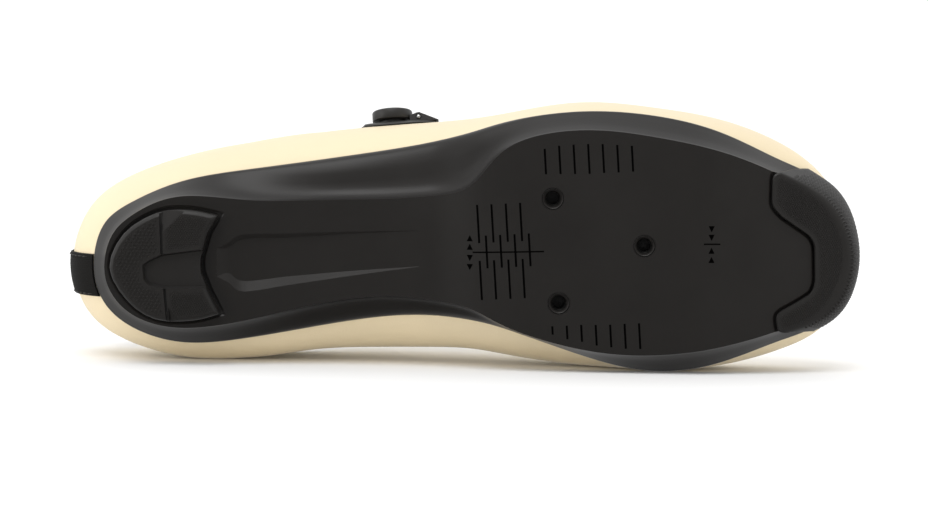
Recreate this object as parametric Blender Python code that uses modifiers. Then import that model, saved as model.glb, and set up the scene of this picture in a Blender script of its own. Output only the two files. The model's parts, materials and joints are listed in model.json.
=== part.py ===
"""A right road cycling shoe that lies on its medial side, sole towards -Y.

The shoe is modelled in its own frame: x runs from heel to toe, y towards the medial side and z up
from the plane that the heel pad and the forefoot plate would stand on. At the end the whole shoe is
turned onto the floor by the three places that it really rests on, and its box is centred on the origin.
"""
import math

import bmesh
import bpy
import numpy as np
from mathutils import Matrix, Vector

# Overall sizes in metres, European size 42
LENGTH = 0.2815
BALL_WIDTH = 0.0944
HEEL_WIDTH = 0.0715
HEEL_HEIGHT = 0.071
INSTEP_HEIGHT = 0.080
VAMP_HEIGHT = 0.057
UPPER_WALL = 0.002
GAP = 0.0003
CUT_REACH = 0.001

# Sole: rise of the plate in the arch and at the toe, height of its side, thickness under the foot
ARCH_RISE = 0.011
TOE_SPRING = 0.020
SIDE_HEIGHT = 0.011
SOLE_THICKNESS = 0.0058
RIM_LAND = 0.0026
RIM_WALL_SLOPE = 0.0008
RIM_WALL_HEIGHT = 0.002
SHELF_SHARE = 0.25
SHELF_INSET = 0.001
SHELF_RISE = 0.6
BED_INSET = 0.0075
SHANK_DEPTH = 0.0016
SHANK_WALL_SLOPE = 0.8
INSOLE_THICKNESS = 0.003
INSOLE_CLEARANCE = 0.0007

# Cleat fixing: three threaded inserts, the usual pattern for a road cleat
BOLT_SPACING = 0.0365
BOLT_REACH = 0.0308
BOLT_CENTRE_X = 0.1739
BOLT_CENTRE_Y = -0.0058
BOLT_TURN = math.radians(3.3)
THREAD_BORE = 0.0042
INSERT_BARREL = 0.0059
INSERT_FLANGE = 0.0140
FLANGE_THICKNESS = 0.0011
COUNTERSINK = 0.0078
COUNTERSINK_DEPTH = 0.0006
INSERT_STEP = 0.0006

# Heel pad and toe pad
HEEL_PAD_START = 0.0177
HEEL_PAD_LENGTH = 0.0404
HEEL_PAD_WIDTH = 0.0412
HEEL_PAD_SINK = 0.0016
HEEL_PAD_SLIT = 0.0009
HEEL_PAD_BEVEL = 0.0008
TREAD_RECESS = 0.0018
TREAD_GROOVE = 0.0010
TREAD_GROOVE_WIDTH = 0.0009
TOE_PAD_SIDE = 0.0033
TOE_PAD_END = 0.0013
TOE_PAD_GROWTH = (0.945, 0.985)
TOE_PAD_UNDER = 0.0018
TOE_BLOCK_DEPTH = 0.005
TOE_BLOCK_HEIGHT = 0.060
TOE_CUT_ABOVE = 0.004

# Heel strip and tongue
STRIP_WIDTH = 0.0149
STRIP_OFFSET = 0.0040
STRIP_THICKNESS = 0.0007
STRIP_START = 0.03
STRIP_TOP = 0.86
HEEL_TURN = 2.0
TONGUE_THICKNESS = 0.004
TONGUE_CLEARANCE = 0.0009
TONGUE_REACH = 0.022
TONGUE_TOP_WIDTH = 0.034
TONGUE_ARCH = 0.0015
TONGUE_CLIMB = (-0.55, 0.0, 0.83)
TONGUE_START = 7.0
TONGUE_END = 13.6
TONGUE_LAP = 0.16

# Free end of the tongue: share of its reach above the throat, share of its top width
TONGUE_TOP = ((0.16, 0.52), (0.42, 0.70), (0.70, 0.94), (0.88, 1.00), (1.00, 0.88))

# Lace dial on the lateral quarter
DIAL_X = 0.1162
DIAL_Z = 0.0500
DIAL_GUESS = (6.3, 0.5)
DIAL_LIFT = 0.00035
DIAL_BASE_BACK = 0.0113
DIAL_BASE_FRONT = 0.0167
DIAL_BASE_WIDTH = 0.0196
DIAL_TIP_WIDTH = 0.0080
DIAL_BACK_WIDTH = 0.003
DIAL_BASE_THICKNESS = 0.0010
DIAL_BOSS_RADIUS = 0.0050
DIAL_BOSS_HEIGHT = 0.0004
KNOB_DIAMETER = 0.0146
KNOB_HEIGHT = 0.0039
HOUSING_WIDTH = 0.0092
HOUSING_GAP = 0.0006
PIN_DIAMETER = 0.0014
PIN_FORWARD = 0.0016
PIN_LIFT = 0.0025
PIN_PROUD = 0.0001
PIN_ROUND = 0.0002

# Wedge of the dial's housing: distance in front of the knob, height above the base's middle
HOUSING_SIDE = ((0.0000, 0.0), (0.0080, 0.0), (0.0083, 0.0008), (0.0026, 0.00335), (0.0006, 0.00305))

# Half section of the knob from its top: shares of its radius and of its height
KNOB_SIDE = ((0.0, 1.0), (0.55, 0.974), (0.86, 0.872), (1.0, 0.641), (1.0, 0.103), (0.918, 0.0), (0.0, 0.0))

# Lace wire and its guides
WIRE_DIAMETER = 0.0012
GUIDE_LENGTH = 0.0115
GUIDE_WIDTH = 0.0066
GUIDE_THICKNESS = 0.0030
GUIDE_LIFT = 0.0005
GUIDE_EDGE = 0.0012
GUIDE_ROWS = (8.3, 10.0, 11.7)
GUIDE_LEVEL = 0.93
WIRE_LANE = 0.27
WIRE_DEPTH = 0.12
WIRE_CLEAR = 0.002

# Resolution of the faceted solids
COLUMNS = 60
LOWER_ROWS = 5
UPPER_ROWS = 8
ROUND_STEPS = 18
WELD = 0.00001

# Weight of each material per volume, kilograms per cubic metre
DENSITY = {"upper": 850.0, "plate": 1250.0, "rubber": 1150.0, "foam": 250.0, "plastic": 1100.0,
           "steel": 7800.0, "woven": 900.0}

# Edge where the sole's rim meets the upper: place along the length, then the lateral and the medial
# distance from the centre line, as shares of LENGTH and of the breadth at that place
RIM_ROWS = (
    (0.040, 0.007, 0.007),
    (0.052, -0.189, 0.186),
    (0.089, -0.308, 0.316),
    (0.153, -0.411, 0.389),
    (0.234, -0.464, 0.366),
    (0.320, -0.480, 0.295),
    (0.401, -0.484, 0.232),
    (0.462, -0.492, 0.211),
    (0.515, -0.514, 0.218),
    (0.568, -0.546, 0.253),
    (0.650, -0.572, 0.335),
    (0.739, -0.557, 0.396),
    (0.824, -0.494, 0.367),
    (0.902, -0.387, 0.292),
    (0.964, -0.275, 0.207),
    (0.994, -0.023, -0.023),
)

# Edge of the flat plate under the sole, same columns
EDGE_ROWS = (
    (0.058, 0.004, 0.004),
    (0.067, -0.147, 0.135),
    (0.096, -0.259, 0.245),
    (0.153, -0.343, 0.301),
    (0.234, -0.322, 0.264),
    (0.320, -0.301, 0.180),
    (0.401, -0.284, 0.132),
    (0.462, -0.281, 0.137),
    (0.515, -0.318, 0.164),
    (0.561, -0.452, 0.228),
    (0.650, -0.506, 0.303),
    (0.739, -0.481, 0.324),
    (0.824, -0.424, 0.295),
    (0.899, -0.334, 0.239),
    (0.950, -0.225, 0.157),
    (0.977, -0.023, -0.023),
)

# Widest line of the upper: place, lateral, medial, then the height on each side as a share of the
# shoe's height there
WIDE_ROWS = (
    (0.005, 0.014, 0.014, 0.535, 0.535),
    (0.019, -0.210, 0.224, 0.535, 0.521),
    (0.062, -0.386, 0.375, 0.533, 0.460),
    (0.146, -0.517, 0.478, 0.516, 0.410),
    (0.238, -0.589, 0.478, 0.512, 0.400),
    (0.320, -0.599, 0.421, 0.523, 0.430),
    (0.398, -0.583, 0.386, 0.533, 0.469),
    (0.462, -0.564, 0.361, 0.530, 0.471),
    (0.515, -0.558, 0.349, 0.514, 0.448),
    (0.568, -0.570, 0.363, 0.480, 0.425),
    (0.654, -0.601, 0.391, 0.464, 0.432),
    (0.746, -0.581, 0.398, 0.474, 0.439),
    (0.831, -0.534, 0.388, 0.491, 0.474),
    (0.913, -0.434, 0.328, 0.544, 0.526),
    (0.972, -0.275, 0.217, 0.596, 0.596),
    (0.999, -0.025, -0.025, 0.632, 0.632),
)

# Edge of the collar and throat: the same columns, then the upper's crown, as the share of the way out
# to the widest line at which it turns over, and how far it has dropped there
TOP_ROWS = (
    (0.030, 0.007, 0.007, 1.000, 1.000, 0.20, 0.35),
    (0.043, -0.189, 0.196, 0.986, 0.986, 0.20, 0.35),
    (0.082, -0.322, 0.336, 0.918, 0.918, 0.20, 0.35),
    (0.156, -0.413, 0.432, 0.819, 0.825, 0.20, 0.35),
    (0.242, -0.451, 0.486, 0.754, 0.774, 0.22, 0.35),
    (0.320, -0.375, 0.382, 0.836, 0.855, 0.32, 0.25),
    (0.384, -0.204, 0.198, 0.990, 1.009, 0.45, 0.15),
    (0.442, -0.139, 0.139, 1.020, 1.022, 0.50, 0.10),
    (0.495, -0.126, 0.117, 1.014, 1.014, 0.50, 0.10),
    (0.542, -0.118, 0.105, 1.014, 1.017, 0.50, 0.10),
    (0.604, -0.106, 0.088, 1.020, 1.024, 0.50, 0.12),
    (0.664, -0.093, 0.070, 1.016, 1.019, 0.50, 0.15),
    (0.707, -0.074, 0.048, 1.012, 1.015, 0.50, 0.22),
    (0.730, -0.053, 0.028, 1.006, 1.006, 0.51, 0.32),
    (0.739, -0.034, 0.006, 1.002, 1.002, 0.52, 0.40),
    (0.741, -0.014, -0.014, 1.000, 1.000, 0.52, 0.42),
)

# Side view of the sole: place, rise of the plate as shares of ARCH_RISE and TOE_SPRING, and height of
# the side above the plate as a share of SIDE_HEIGHT
SIDE_ROWS = (
    (0.000, 0.545, 0.00, 1.000),
    (0.142, 0.500, 0.00, 1.045),
    (0.249, 0.727, 0.00, 1.000),
    (0.355, 1.000, 0.00, 1.000),
    (0.462, 0.727, 0.00, 1.000),
    (0.533, 0.136, 0.00, 1.136),
    (0.586, 0.000, 0.00, 1.045),
    (0.675, 0.000, 0.00, 1.000),
    (0.789, 0.000, 0.00, 1.045),
    (0.853, 0.000, 0.20, 1.000),
    (0.906, 0.000, 0.45, 1.000),
    (0.959, 0.000, 0.75, 0.909),
    (1.002, 0.000, 1.00, 0.818),
)

# Share of the upper's height, in its own v, at which it is widest
WIDEST = 0.36

# How far the upper's section leans out and rises as it leaves the rim, and how upright it stays below and
# above its widest line, as shares of the distance to the next line
RIM_LEAN = 0.6
RIM_RISE = 0.25
BULGE = 0.45
SHOULDER = 0.5

# Section of the sole's side from the plate's edge to the rim, and of the toe pad that fills it out:
# share of the way out, share of the way up
COVE_PROFILE = ((0.22, 0.40), (0.75, 0.54), (0.96, 0.62), (1.00, 0.72), (1.00, 1.00))
PAD_PROFILE = ((0.30, 0.16), (0.72, 0.45), (0.95, 0.78), (1.00, 1.00))

# Tapering recess along the shank: place, lateral and medial edge, depth as a share of SHANK_DEPTH
SHANK_ROWS = (
    (0.203, -0.084, 0.063, 0.85),
    (0.230, -0.148, 0.131, 1.00),
    (0.284, -0.148, 0.106, 0.85),
    (0.337, -0.147, 0.070, 0.60),
    (0.391, -0.143, 0.043, 0.35),
    (0.448, -0.105, 0.012, 0.04),
)

# Outline of the heel pad's round side from its medial to its lateral front corner, and of its notched
# front, as shares of the pad's length and width
PAD_ROUND = ((1.000, 0.408), (0.740, 0.473), (0.408, 0.461), (0.153, 0.294), (0.000, 0.002),
             (0.130, -0.298), (0.416, -0.478), (0.700, -0.507), (0.995, -0.451))
PAD_NOTCH = ((0.889, -0.279), (0.827, -0.066), (0.829, 0.036), (0.896, 0.206))

# Sunk middle of the heel pad, open at the notch, and the inner ends of its two grooves, same shares
TREAD_MIDDLE = ((0.478, -0.114), (0.356, -0.058), (0.309, -0.027), (0.317, 0.102), (0.366, 0.150),
                (0.498, 0.177), (1.100, 0.177), (1.100, -0.190))
TREAD_GROOVES = (((0.465, -0.600), (0.478, -0.114)), ((0.498, 0.177), (0.535, 0.600)))

# Rear edge of the toe pad from the lateral to the medial side, then closed round in front of the toe:
# place along the length and distance from the centre line as a share of BALL_WIDTH
TOE_PAD_OUTLINE = ((0.946, -0.450), (0.946, -0.353), (0.917, -0.356), (0.887, -0.342), (0.886, -0.224),
                   (0.897, -0.186), (0.936, -0.107), (0.942, -0.075), (0.943, 0.069), (0.939, 0.104),
                   (0.916, 0.142), (0.896, 0.171), (0.892, 0.185), (0.895, 0.248), (0.948, 0.256),
                   (0.948, 0.450), (1.060, 0.450), (1.060, -0.450))

SIDES = len(RIM_ROWS) - 1
TURN = 2.0 * SIDES
SPINE_START = 3.2
SPINE_END = 12.6


class Loop:
    """Smooth closed curve, one unit of t from each of its points to the next."""

    def __init__(self, points):
        self.count = len(points)
        same = np.eye(self.count)
        beside = np.roll(same, 1, axis=0) + np.roll(same, -1, axis=0)
        self.control = np.linalg.solve((4.0 * same + beside) / 6.0, np.asarray(points, float))

    def __call__(self, t):
        t = np.asarray(t, float)
        first = np.floor(t).astype(int)
        f = (t - first)[..., None]
        weights = ((1 - f) ** 3, 3 * f ** 3 - 6 * f ** 2 + 4, 1 + 3 * f + 3 * f ** 2 - 3 * f ** 3, f ** 3)
        total = 0.0
        for step, weight in enumerate(weights):
            total = total + weight * self.control[(first + step - 1) % self.count]
        return total / 6.0


class LevelCurve:
    """Smooth curve through rows that never overshoots them, so that level rows stay level."""

    def __init__(self, places, values):
        self.places = np.asarray(places, float)
        self.values = np.asarray(values, float)
        steps = np.diff(self.values) / np.diff(self.places)
        self.slopes = np.zeros(len(self.values))
        self.slopes[-1] = steps[-1]
        for k in range(1, len(steps)):
            if steps[k - 1] * steps[k] > 0.0:
                self.slopes[k] = 2.0 * steps[k - 1] * steps[k] / (steps[k - 1] + steps[k])

    def __call__(self, place):
        place = np.asarray(place, float)
        k = np.clip(np.searchsorted(self.places, place) - 1, 0, len(self.places) - 2)
        width = self.places[k + 1] - self.places[k]
        f = np.clip((place - self.places[k]) / width, 0.0, 1.0)
        eased = 3 * f ** 2 - 2 * f ** 3
        level = (1 - eased) * self.values[k] + eased * self.values[k + 1]
        leave = (f ** 3 - 2 * f ** 2 + f) * self.slopes[k]
        arrive = (f ** 3 - f ** 2) * self.slopes[k + 1]
        return level + width * (leave + arrive)


def smooth_step(share):
    share = np.clip(share, 0.0, 1.0)
    return share * share * (3.0 - 2.0 * share)


def breadth(place):
    """Breadth that the lateral and medial shares refer to, from the heel's to the ball's."""
    return HEEL_WIDTH + (BALL_WIDTH - HEEL_WIDTH) * smooth_step((place - 0.20) / 0.42)


def shoe_height(place):
    return np.interp(place, (0.05, 0.38, 0.74), (HEEL_HEIGHT, INSTEP_HEIGHT, VAMP_HEIGHT))


def plan_loop(rows):
    """Closed curve round the shoe in plan: heel, lateral side, toe and back along the medial side."""
    lateral = [(row[0] * LENGTH, row[1] * breadth(row[0])) for row in rows]
    medial = [(row[0] * LENGTH, row[2] * breadth(row[0])) for row in rows]
    return Loop(lateral + medial[-2:0:-1])


def height_loop(rows):
    lateral = [(row[3] * shoe_height(row[0]),) for row in rows]
    medial = [(row[4] * shoe_height(row[0]),) for row in rows]
    return Loop(lateral + medial[-2:0:-1])


def crown_loop(rows):
    crowns = [(row[5], row[6]) for row in rows]
    return Loop(crowns + crowns[-2:0:-1])


def side_curve(column):
    return LevelCurve([row[0] for row in SIDE_ROWS], [row[column] for row in SIDE_ROWS])


RIM = plan_loop(RIM_ROWS)
EDGE = plan_loop(EDGE_ROWS)
WIDE = plan_loop(WIDE_ROWS)
WIDE_HEIGHT = height_loop(WIDE_ROWS)
TOP = plan_loop(TOP_ROWS)
TOP_HEIGHT = height_loop(TOP_ROWS)
CROWN = crown_loop(TOP_ROWS)
ARCH = side_curve(1)
SPRING = side_curve(2)
SIDE = side_curve(3)


def plate_height(x):
    """Height of the flat underside of the sole's plate."""
    return ARCH_RISE * ARCH(x / LENGTH) + TOE_SPRING * SPRING(x / LENGTH)


def rim_height(x):
    return plate_height(x) + SIDE_HEIGHT * SIDE(x / LENGTH)


def with_height(plan, height):
    return np.concatenate([plan, np.asarray(height, float)[..., None]], axis=-1)


def unit(vectors):
    return vectors / np.linalg.norm(vectors, axis=-1, keepdims=True)


def outward(t):
    """Direction away from the shoe in plan, square to the rim."""
    along = RIM(t + 0.01) - RIM(t - 0.01)
    return unit(np.stack([along[..., 1], -along[..., 0]], axis=-1))


def bezier(points, f):
    f = f[..., None]
    return ((1 - f) ** 3 * points[0] + 3 * f * (1 - f) ** 2 * points[1]
            + 3 * f ** 2 * (1 - f) * points[2] + f ** 3 * points[3])


def upper_surface(t, v):
    """Outer side of the upper: v is 0 at the sole's rim, WIDEST at its widest line and 1 at the top."""
    rim = with_height(RIM(t), rim_height(RIM(t)[..., 0]) + GAP)
    wide = with_height(WIDE(t), WIDE_HEIGHT(t)[..., 0])
    top = with_height(TOP(t), TOP_HEIGHT(t)[..., 0])
    crown = CROWN(t)
    up = np.array([0.0, 0.0, 1.0])
    flat = np.array([1.0, 1.0, 0.0])
    rise = (wide - rim)[..., 2:3]
    climb = (top - wide)[..., 2:3]
    low = (rim, rim + RIM_LEAN * (wide - rim) * flat + RIM_RISE * rise * up, wide - BULGE * rise * up, wide)
    turn = top + crown[..., 0:1] * (wide - top) * flat - crown[..., 1:2] * climb * up
    high = (wide, wide + SHOULDER * climb * up, turn, top)
    lower = bezier(low, np.clip(v / WIDEST, 0.0, 1.0))
    higher = bezier(high, np.clip((v - WIDEST) / (1.0 - WIDEST), 0.0, 1.0))
    return np.where((v < WIDEST)[..., None], lower, higher)


def upper_normal(t, v):
    step = 0.004
    around = upper_surface(t + step, v) - upper_surface(t - step, v)
    above = np.minimum(v + step, 1.0)
    below = np.maximum(v - step, 0.0)
    return unit(np.cross(around, upper_surface(t, above) - upper_surface(t, below)))


def upper_offset(t, v, lift):
    """Point a distance outside the upper's outer side, or inside it where the lift is negative."""
    t, v = np.broadcast_arrays(np.asarray(t, float), np.asarray(v, float))
    return upper_surface(t, v) + lift * upper_normal(t, v)


def spine(t):
    """Middle of the plate beside each place round the shoe, the same point for both sides."""
    fold = np.minimum(t % TURN, TURN - t % TURN)
    row = np.clip(fold, SPINE_START, SPINE_END)
    return 0.5 * (EDGE(row) + EDGE(TURN - row))


def toe_pad_side(t):
    """How far the toe pad stands out beyond the rim, less towards its two rear ends."""
    start, end = TOE_PAD_GROWTH
    growth = smooth_step((RIM(t)[..., 0] / LENGTH - start) / (end - start))
    return TOE_PAD_END + (TOE_PAD_SIDE - TOE_PAD_END) * growth


def underside(t, profile, side=0.0, under=0.0):
    """Rings of the sole's outer form from the middle of its plate to its rim, grown by two offsets."""
    edge, rim, middle = EDGE(t), RIM(t), spine(t)
    side = np.asarray(side, float)[..., None]
    rings = []
    for share in (0.0, 0.5, 1.0):
        plan = middle + share * (edge - middle)
        rings.append(with_height(plan, plate_height(plan[..., 0]) - under))
    low = plate_height(edge[..., 0]) - under
    high = rim_height(rim[..., 0])
    for across, up in profile:
        plan = edge + across * (rim - edge) + across * side * outward(t)
        rings.append(with_height(plan, low + up * (high - low)))
    return rings


def footbed(t):
    """Rings inside the sole's cup: rim's land, wall, shelf, edge of the flat bed, half way, middle."""
    edge, rim, middle = EDGE(t), RIM(t), spine(t)
    depth = np.linalg.norm(edge - rim, axis=-1)[..., None]
    inward = (edge - rim) / depth
    high = rim_height(rim[..., 0])
    low = plate_height(edge[..., 0]) + SOLE_THICKNESS
    wall = rim + inward * (RIM_LAND + RIM_WALL_SLOPE)
    shelf = rim + inward * np.maximum(SHELF_SHARE * depth + SHELF_INSET, RIM_LAND + 2.0 * RIM_WALL_SLOPE)
    bed = rim + inward * np.maximum(depth, BED_INSET)
    rings = [with_height(rim + inward * RIM_LAND, high),
             with_height(wall, high - RIM_WALL_HEIGHT),
             with_height(shelf, low + SHELF_RISE * (high - low))]
    for share in (1.0, 0.5, 0.0):
        plan = middle + share * (bed - middle)
        rings.append(with_height(plan, plate_height(plan[..., 0]) + SOLE_THICKNESS))
    return rings


def move(point, offset):
    return point + np.array([0.0, 0.0, offset])


def clear_scene():
    for item in list(bpy.data.objects):
        bpy.data.objects.remove(item)


def new_collection(name):
    collection = bpy.data.collections.new(name)
    bpy.context.scene.collection.children.link(collection)
    return collection


def add_object(name, data, collection=None):
    item = bpy.data.objects.new(name, data)
    (collection or PARTS).objects.link(item)
    return item


def material(name, colour, roughness, metallic=0.0):
    shade = bpy.data.materials.new(name)
    shade.use_nodes = True
    surface = shade.node_tree.nodes["Principled BSDF"]
    surface.inputs["Base Color"].default_value = (*colour, 1.0)
    surface.inputs["Roughness"].default_value = roughness
    surface.inputs["Metallic"].default_value = metallic
    shade.diffuse_color = (*colour, 1.0)
    return shade


def finish(item, kind):
    """Give a part its material and keep its weight for the resting pose."""
    item.data.materials.append(MATERIALS[kind])
    item["density"] = DENSITY[kind]
    if item.type == "MESH":
        item.data.shade_smooth()
        item.data.set_sharp_from_angle(angle=math.radians(35.0))
    return item


def mesh_from(work, name):
    mesh = bpy.data.meshes.new(name)
    work.normal_update()
    work.to_mesh(mesh)
    work.free()
    return mesh


def loft(name, rings, round_about=True, capped=False):
    """Mesh through rings of points, each ring joined to the next, in the same order all along."""
    work = bmesh.new()
    rows = [[work.verts.new(point) for point in ring] for ring in rings]
    count = len(rows[0])
    last = count if round_about else count - 1
    for low, high in zip(rows, rows[1:]):
        for i in range(last):
            k = (i + 1) % count
            work.faces.new((low[i], low[k], high[k], high[i]))
    if capped:
        work.faces.new(list(reversed(rows[0])))
        work.faces.new(rows[-1])
    bmesh.ops.remove_doubles(work, verts=work.verts, dist=WELD)
    quads = [face for face in work.faces if len(face.verts) == 4]
    bmesh.ops.triangulate(work, faces=quads, quad_method="SHORT_EDGE")
    return mesh_from(work, name)


def extrude_outline(name, outline, low, high):
    """Straight-sided solid over a plan outline that runs anticlockwise seen from above."""
    rings = [[(x, y, z) for x, y in outline] for z in (low, high)]
    return loft(name, rings, capped=True)


def turned(name, profile, matrix, collection=None):
    """Body turned round its own z from a closed profile of (radius, height), outer side running down."""
    mesh = bpy.data.meshes.new(name)
    edges = [(k, (k + 1) % len(profile)) for k in range(len(profile))]
    if profile[0][0] == 0.0:
        edges.pop()
    mesh.from_pydata([(radius, 0.0, height) for radius, height in profile], edges, [])
    item = add_object(name, mesh, collection)
    item.matrix_world = matrix
    screw = item.modifiers.new("Turn", "SCREW")
    screw.steps = ROUND_STEPS
    screw.render_steps = ROUND_STEPS
    screw.use_merge_vertices = True
    screw.merge_threshold = WELD
    return item


def hide_cutter(item):
    item.display_type = "WIRE"
    item.hide_render = True
    return item


def combine(item, other, operation="DIFFERENCE"):
    step = item.modifiers.new(operation.title(), "BOOLEAN")
    step.operation = operation
    step.solver = "EXACT"
    step.object = hide_cutter(other)


def cut_with(item, name, mesh, operation="DIFFERENCE"):
    combine(item, add_object(name, mesh, CUTTERS), operation)


def thicken(item, thickness, offset):
    wall = item.modifiers.new("Wall", "SOLIDIFY")
    wall.thickness = thickness
    wall.offset = offset
    wall.use_even_offset = True


def round_edges(item, width, segments=2, angle=40.0):
    bevel = item.modifiers.new("Edges", "BEVEL")
    bevel.width = width
    bevel.segments = segments
    bevel.limit_method = "ANGLE"
    bevel.angle_limit = math.radians(angle)


def columns(count=COLUMNS):
    return np.arange(count) * TURN / count


def upper_levels():
    """Heights of the upper's rows, as the v of its surface."""
    lower = np.linspace(0.0, WIDEST, LOWER_ROWS + 1)
    higher = np.linspace(WIDEST, 1.0, UPPER_ROWS + 1)
    return np.concatenate([lower, higher[1:]])


def bolt_places():
    """Plan points of the three inserts: rear lateral, rear medial and front."""
    centre = np.array([BOLT_CENTRE_X, BOLT_CENTRE_Y])
    forward = np.array([math.cos(BOLT_TURN), -math.sin(BOLT_TURN)])
    across = np.array([-forward[1], forward[0]])
    return (centre - 0.5 * BOLT_SPACING * across, centre + 0.5 * BOLT_SPACING * across,
            centre + BOLT_REACH * forward)


def smooth_line(points, steps):
    """Points along a smooth open curve through the given ones."""
    points = np.asarray(points, float)
    padded = np.concatenate([[2 * points[0] - points[1]], points, [2 * points[-1] - points[-2]]])
    line = []
    for k in range(len(points) - 1):
        a, b, c, d = padded[k:k + 4]
        for f in np.arange(steps) / steps:
            line.append(0.5 * (2 * b + (c - a) * f + (2 * a - 5 * b + 4 * c - d) * f ** 2
                               + (3 * b - a - 3 * c + d) * f ** 3))
    line.append(points[-1])
    return np.array(line)


def inset_outline(outline, distance):
    """Outline moved in by a distance, for one that runs anticlockwise."""
    before = outline - np.roll(outline, 1, axis=0)
    after = np.roll(outline, -1, axis=0) - outline
    before, after = unit(before), unit(after)
    left_before = np.stack([-before[:, 1], before[:, 0]], axis=1)
    left_after = np.stack([-after[:, 1], after[:, 0]], axis=1)
    middle = left_before + left_after
    scale = 2.0 / np.maximum(np.sum(middle * middle, axis=1), 0.5)
    return outline + distance * middle * scale[:, None]


def pad_points(shares):
    shares = np.asarray(shares, float)
    return np.stack([HEEL_PAD_START + shares[:, 0] * HEEL_PAD_LENGTH, shares[:, 1] * HEEL_PAD_WIDTH], axis=1)


def heel_pad_outline():
    """Outline of the hollow that the heel pad sits in, anticlockwise seen from above."""
    side = smooth_line(pad_points(PAD_ROUND), 3)
    return np.concatenate([side, pad_points(PAD_NOTCH)])


def heel_pad_seat():
    return plate_height(HEEL_PAD_START) + HEEL_PAD_SINK


def make_outsole():
    t = columns()
    rings = underside(t, COVE_PROFILE) + footbed(t)
    sole = add_object("outsole", loft("outsole", rings))
    seat = extrude_outline("cut_heel_seat", heel_pad_outline(), -CUT_REACH, heel_pad_seat())
    cut_with(sole, "cut_heel_seat", seat)
    cut_with(sole, "cut_shank", shank_cutter())
    flange_seat = SOLE_THICKNESS - FLANGE_THICKNESS - GAP
    radius = 0.5 * COUNTERSINK
    bore = 0.5 * INSERT_BARREL + GAP
    wide = 0.5 * INSERT_FLANGE + GAP
    above = SOLE_THICKNESS + CUT_REACH
    profile = ((0.0, above), (wide, above), (wide, flange_seat), (bore, flange_seat),
               (bore, COUNTERSINK_DEPTH), (radius, 0.0), (radius, -CUT_REACH), (0.0, -CUT_REACH))
    for number, (x, y) in enumerate(bolt_places(), 1):
        cutter = turned(f"cut_bolt_{number}", profile, Matrix.Translation((x, y, 0.0)), CUTTERS)
        combine(sole, cutter)
    return finish(sole, "plate")


def shank_cutter():
    rings = []
    for place, lateral, medial, depth in SHANK_ROWS:
        x = place * LENGTH
        wide = breadth(place)
        base = float(plate_height(x))
        deep = depth * SHANK_DEPTH
        slope = SHANK_WALL_SLOPE * deep
        rings.append([(x, lateral * wide - CUT_REACH, base - CUT_REACH),
                      (x, medial * wide + CUT_REACH, base - CUT_REACH),
                      (x, medial * wide - slope, base + deep), (x, lateral * wide + slope, base + deep)])
    return loft("cut_shank", rings, capped=True)


def make_heel_pad():
    outline = inset_outline(heel_pad_outline(), HEEL_PAD_SLIT)
    foot = inset_outline(outline, HEEL_PAD_BEVEL)
    top = float(heel_pad_seat()) - GAP
    rings = [with_height(foot, np.zeros(len(foot))),
             with_height(outline, np.full(len(foot), HEEL_PAD_BEVEL)),
             with_height(outline, np.full(len(foot), top))]
    pad = add_object("heel_pad", loft("heel_pad", rings, capped=True))
    middle = extrude_outline("cut_tread_middle", pad_points(TREAD_MIDDLE)[::-1], -CUT_REACH, TREAD_RECESS)
    cut_with(pad, "cut_tread_middle", middle)
    for number, ends in enumerate(TREAD_GROOVES, 1):
        start, end = pad_points(ends)
        side = 0.5 * TREAD_GROOVE_WIDTH * unit(np.array([start[1] - end[1], end[0] - start[0]]))
        outline = (start - side, end - side, end + side, start + side)
        cut_with(pad, f"cut_groove_{number}", extrude_outline("groove", outline, -CUT_REACH, TREAD_GROOVE))
    return finish(pad, "rubber")


def toe_form(name, profile, side, under, top):
    """Closed body of the sole's outer form, grown by the offsets and shut by a lid above its rim."""
    t = columns()
    rings = underside(t, profile, side, under)
    rings[-1] = move(rings[-1], min(top, 0.0))
    if top > 0.0:
        rings.append(move(rings[-1], top))
    middle = spine(t)
    rings.append(with_height(middle, rim_height(middle[..., 0]) + top))
    return loft(name, rings)


def make_toe_pad():
    """Rubber that wraps the toe of the sole, its rear edge cut to an outline."""
    outline = [(place * LENGTH, share * BALL_WIDTH) for place, share in TOE_PAD_OUTLINE]
    pad = add_object("toe_pad", extrude_outline("toe_pad", outline[::-1], -TOE_BLOCK_DEPTH, TOE_BLOCK_HEIGHT))
    outer = toe_form("toe_outer", PAD_PROFILE, toe_pad_side(columns()), TOE_PAD_UNDER, -GAP)
    cut_with(pad, "cut_toe_outer", outer, "INTERSECT")
    cut_with(pad, "cut_toe_inner", toe_form("toe_inner", COVE_PROFILE, GAP, GAP, TOE_CUT_ABOVE))
    return finish(pad, "rubber")


def make_upper():
    t = columns()
    rings = [upper_surface(t, np.full(COLUMNS, v)) for v in upper_levels()]
    upper = add_object("upper", loft("upper", rings))
    thicken(upper, UPPER_WALL, -1.0)
    return finish(upper, "upper")


def place_beside(y, v):
    """The t near the back of the heel at which the upper's surface has the given y, by halving."""
    start, end = -HEEL_TURN, HEEL_TURN
    for _ in range(40):
        half = 0.5 * (start + end)
        if upper_surface(np.float64(half), np.float64(v))[1] > y:
            start = half
        else:
            end = half
    return 0.5 * (start + end)


def make_heel_strip():
    """Woven strip over the back of the heel, from the sole's rim to just below the collar."""
    levels = [STRIP_START] + [v for v in upper_levels() if STRIP_START < v < STRIP_TOP] + [STRIP_TOP]
    rings = []
    for v in levels:
        medial = place_beside(STRIP_OFFSET + 0.5 * STRIP_WIDTH, v)
        lateral = place_beside(STRIP_OFFSET - 0.5 * STRIP_WIDTH, v)
        rings.append(upper_offset(np.linspace(medial, lateral, 7), v, GAP))
    strip = add_object("heel_strip", loft("heel_strip", rings, round_about=False))
    thicken(strip, STRIP_THICKNESS, 1.0)
    return finish(strip, "woven")


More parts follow.
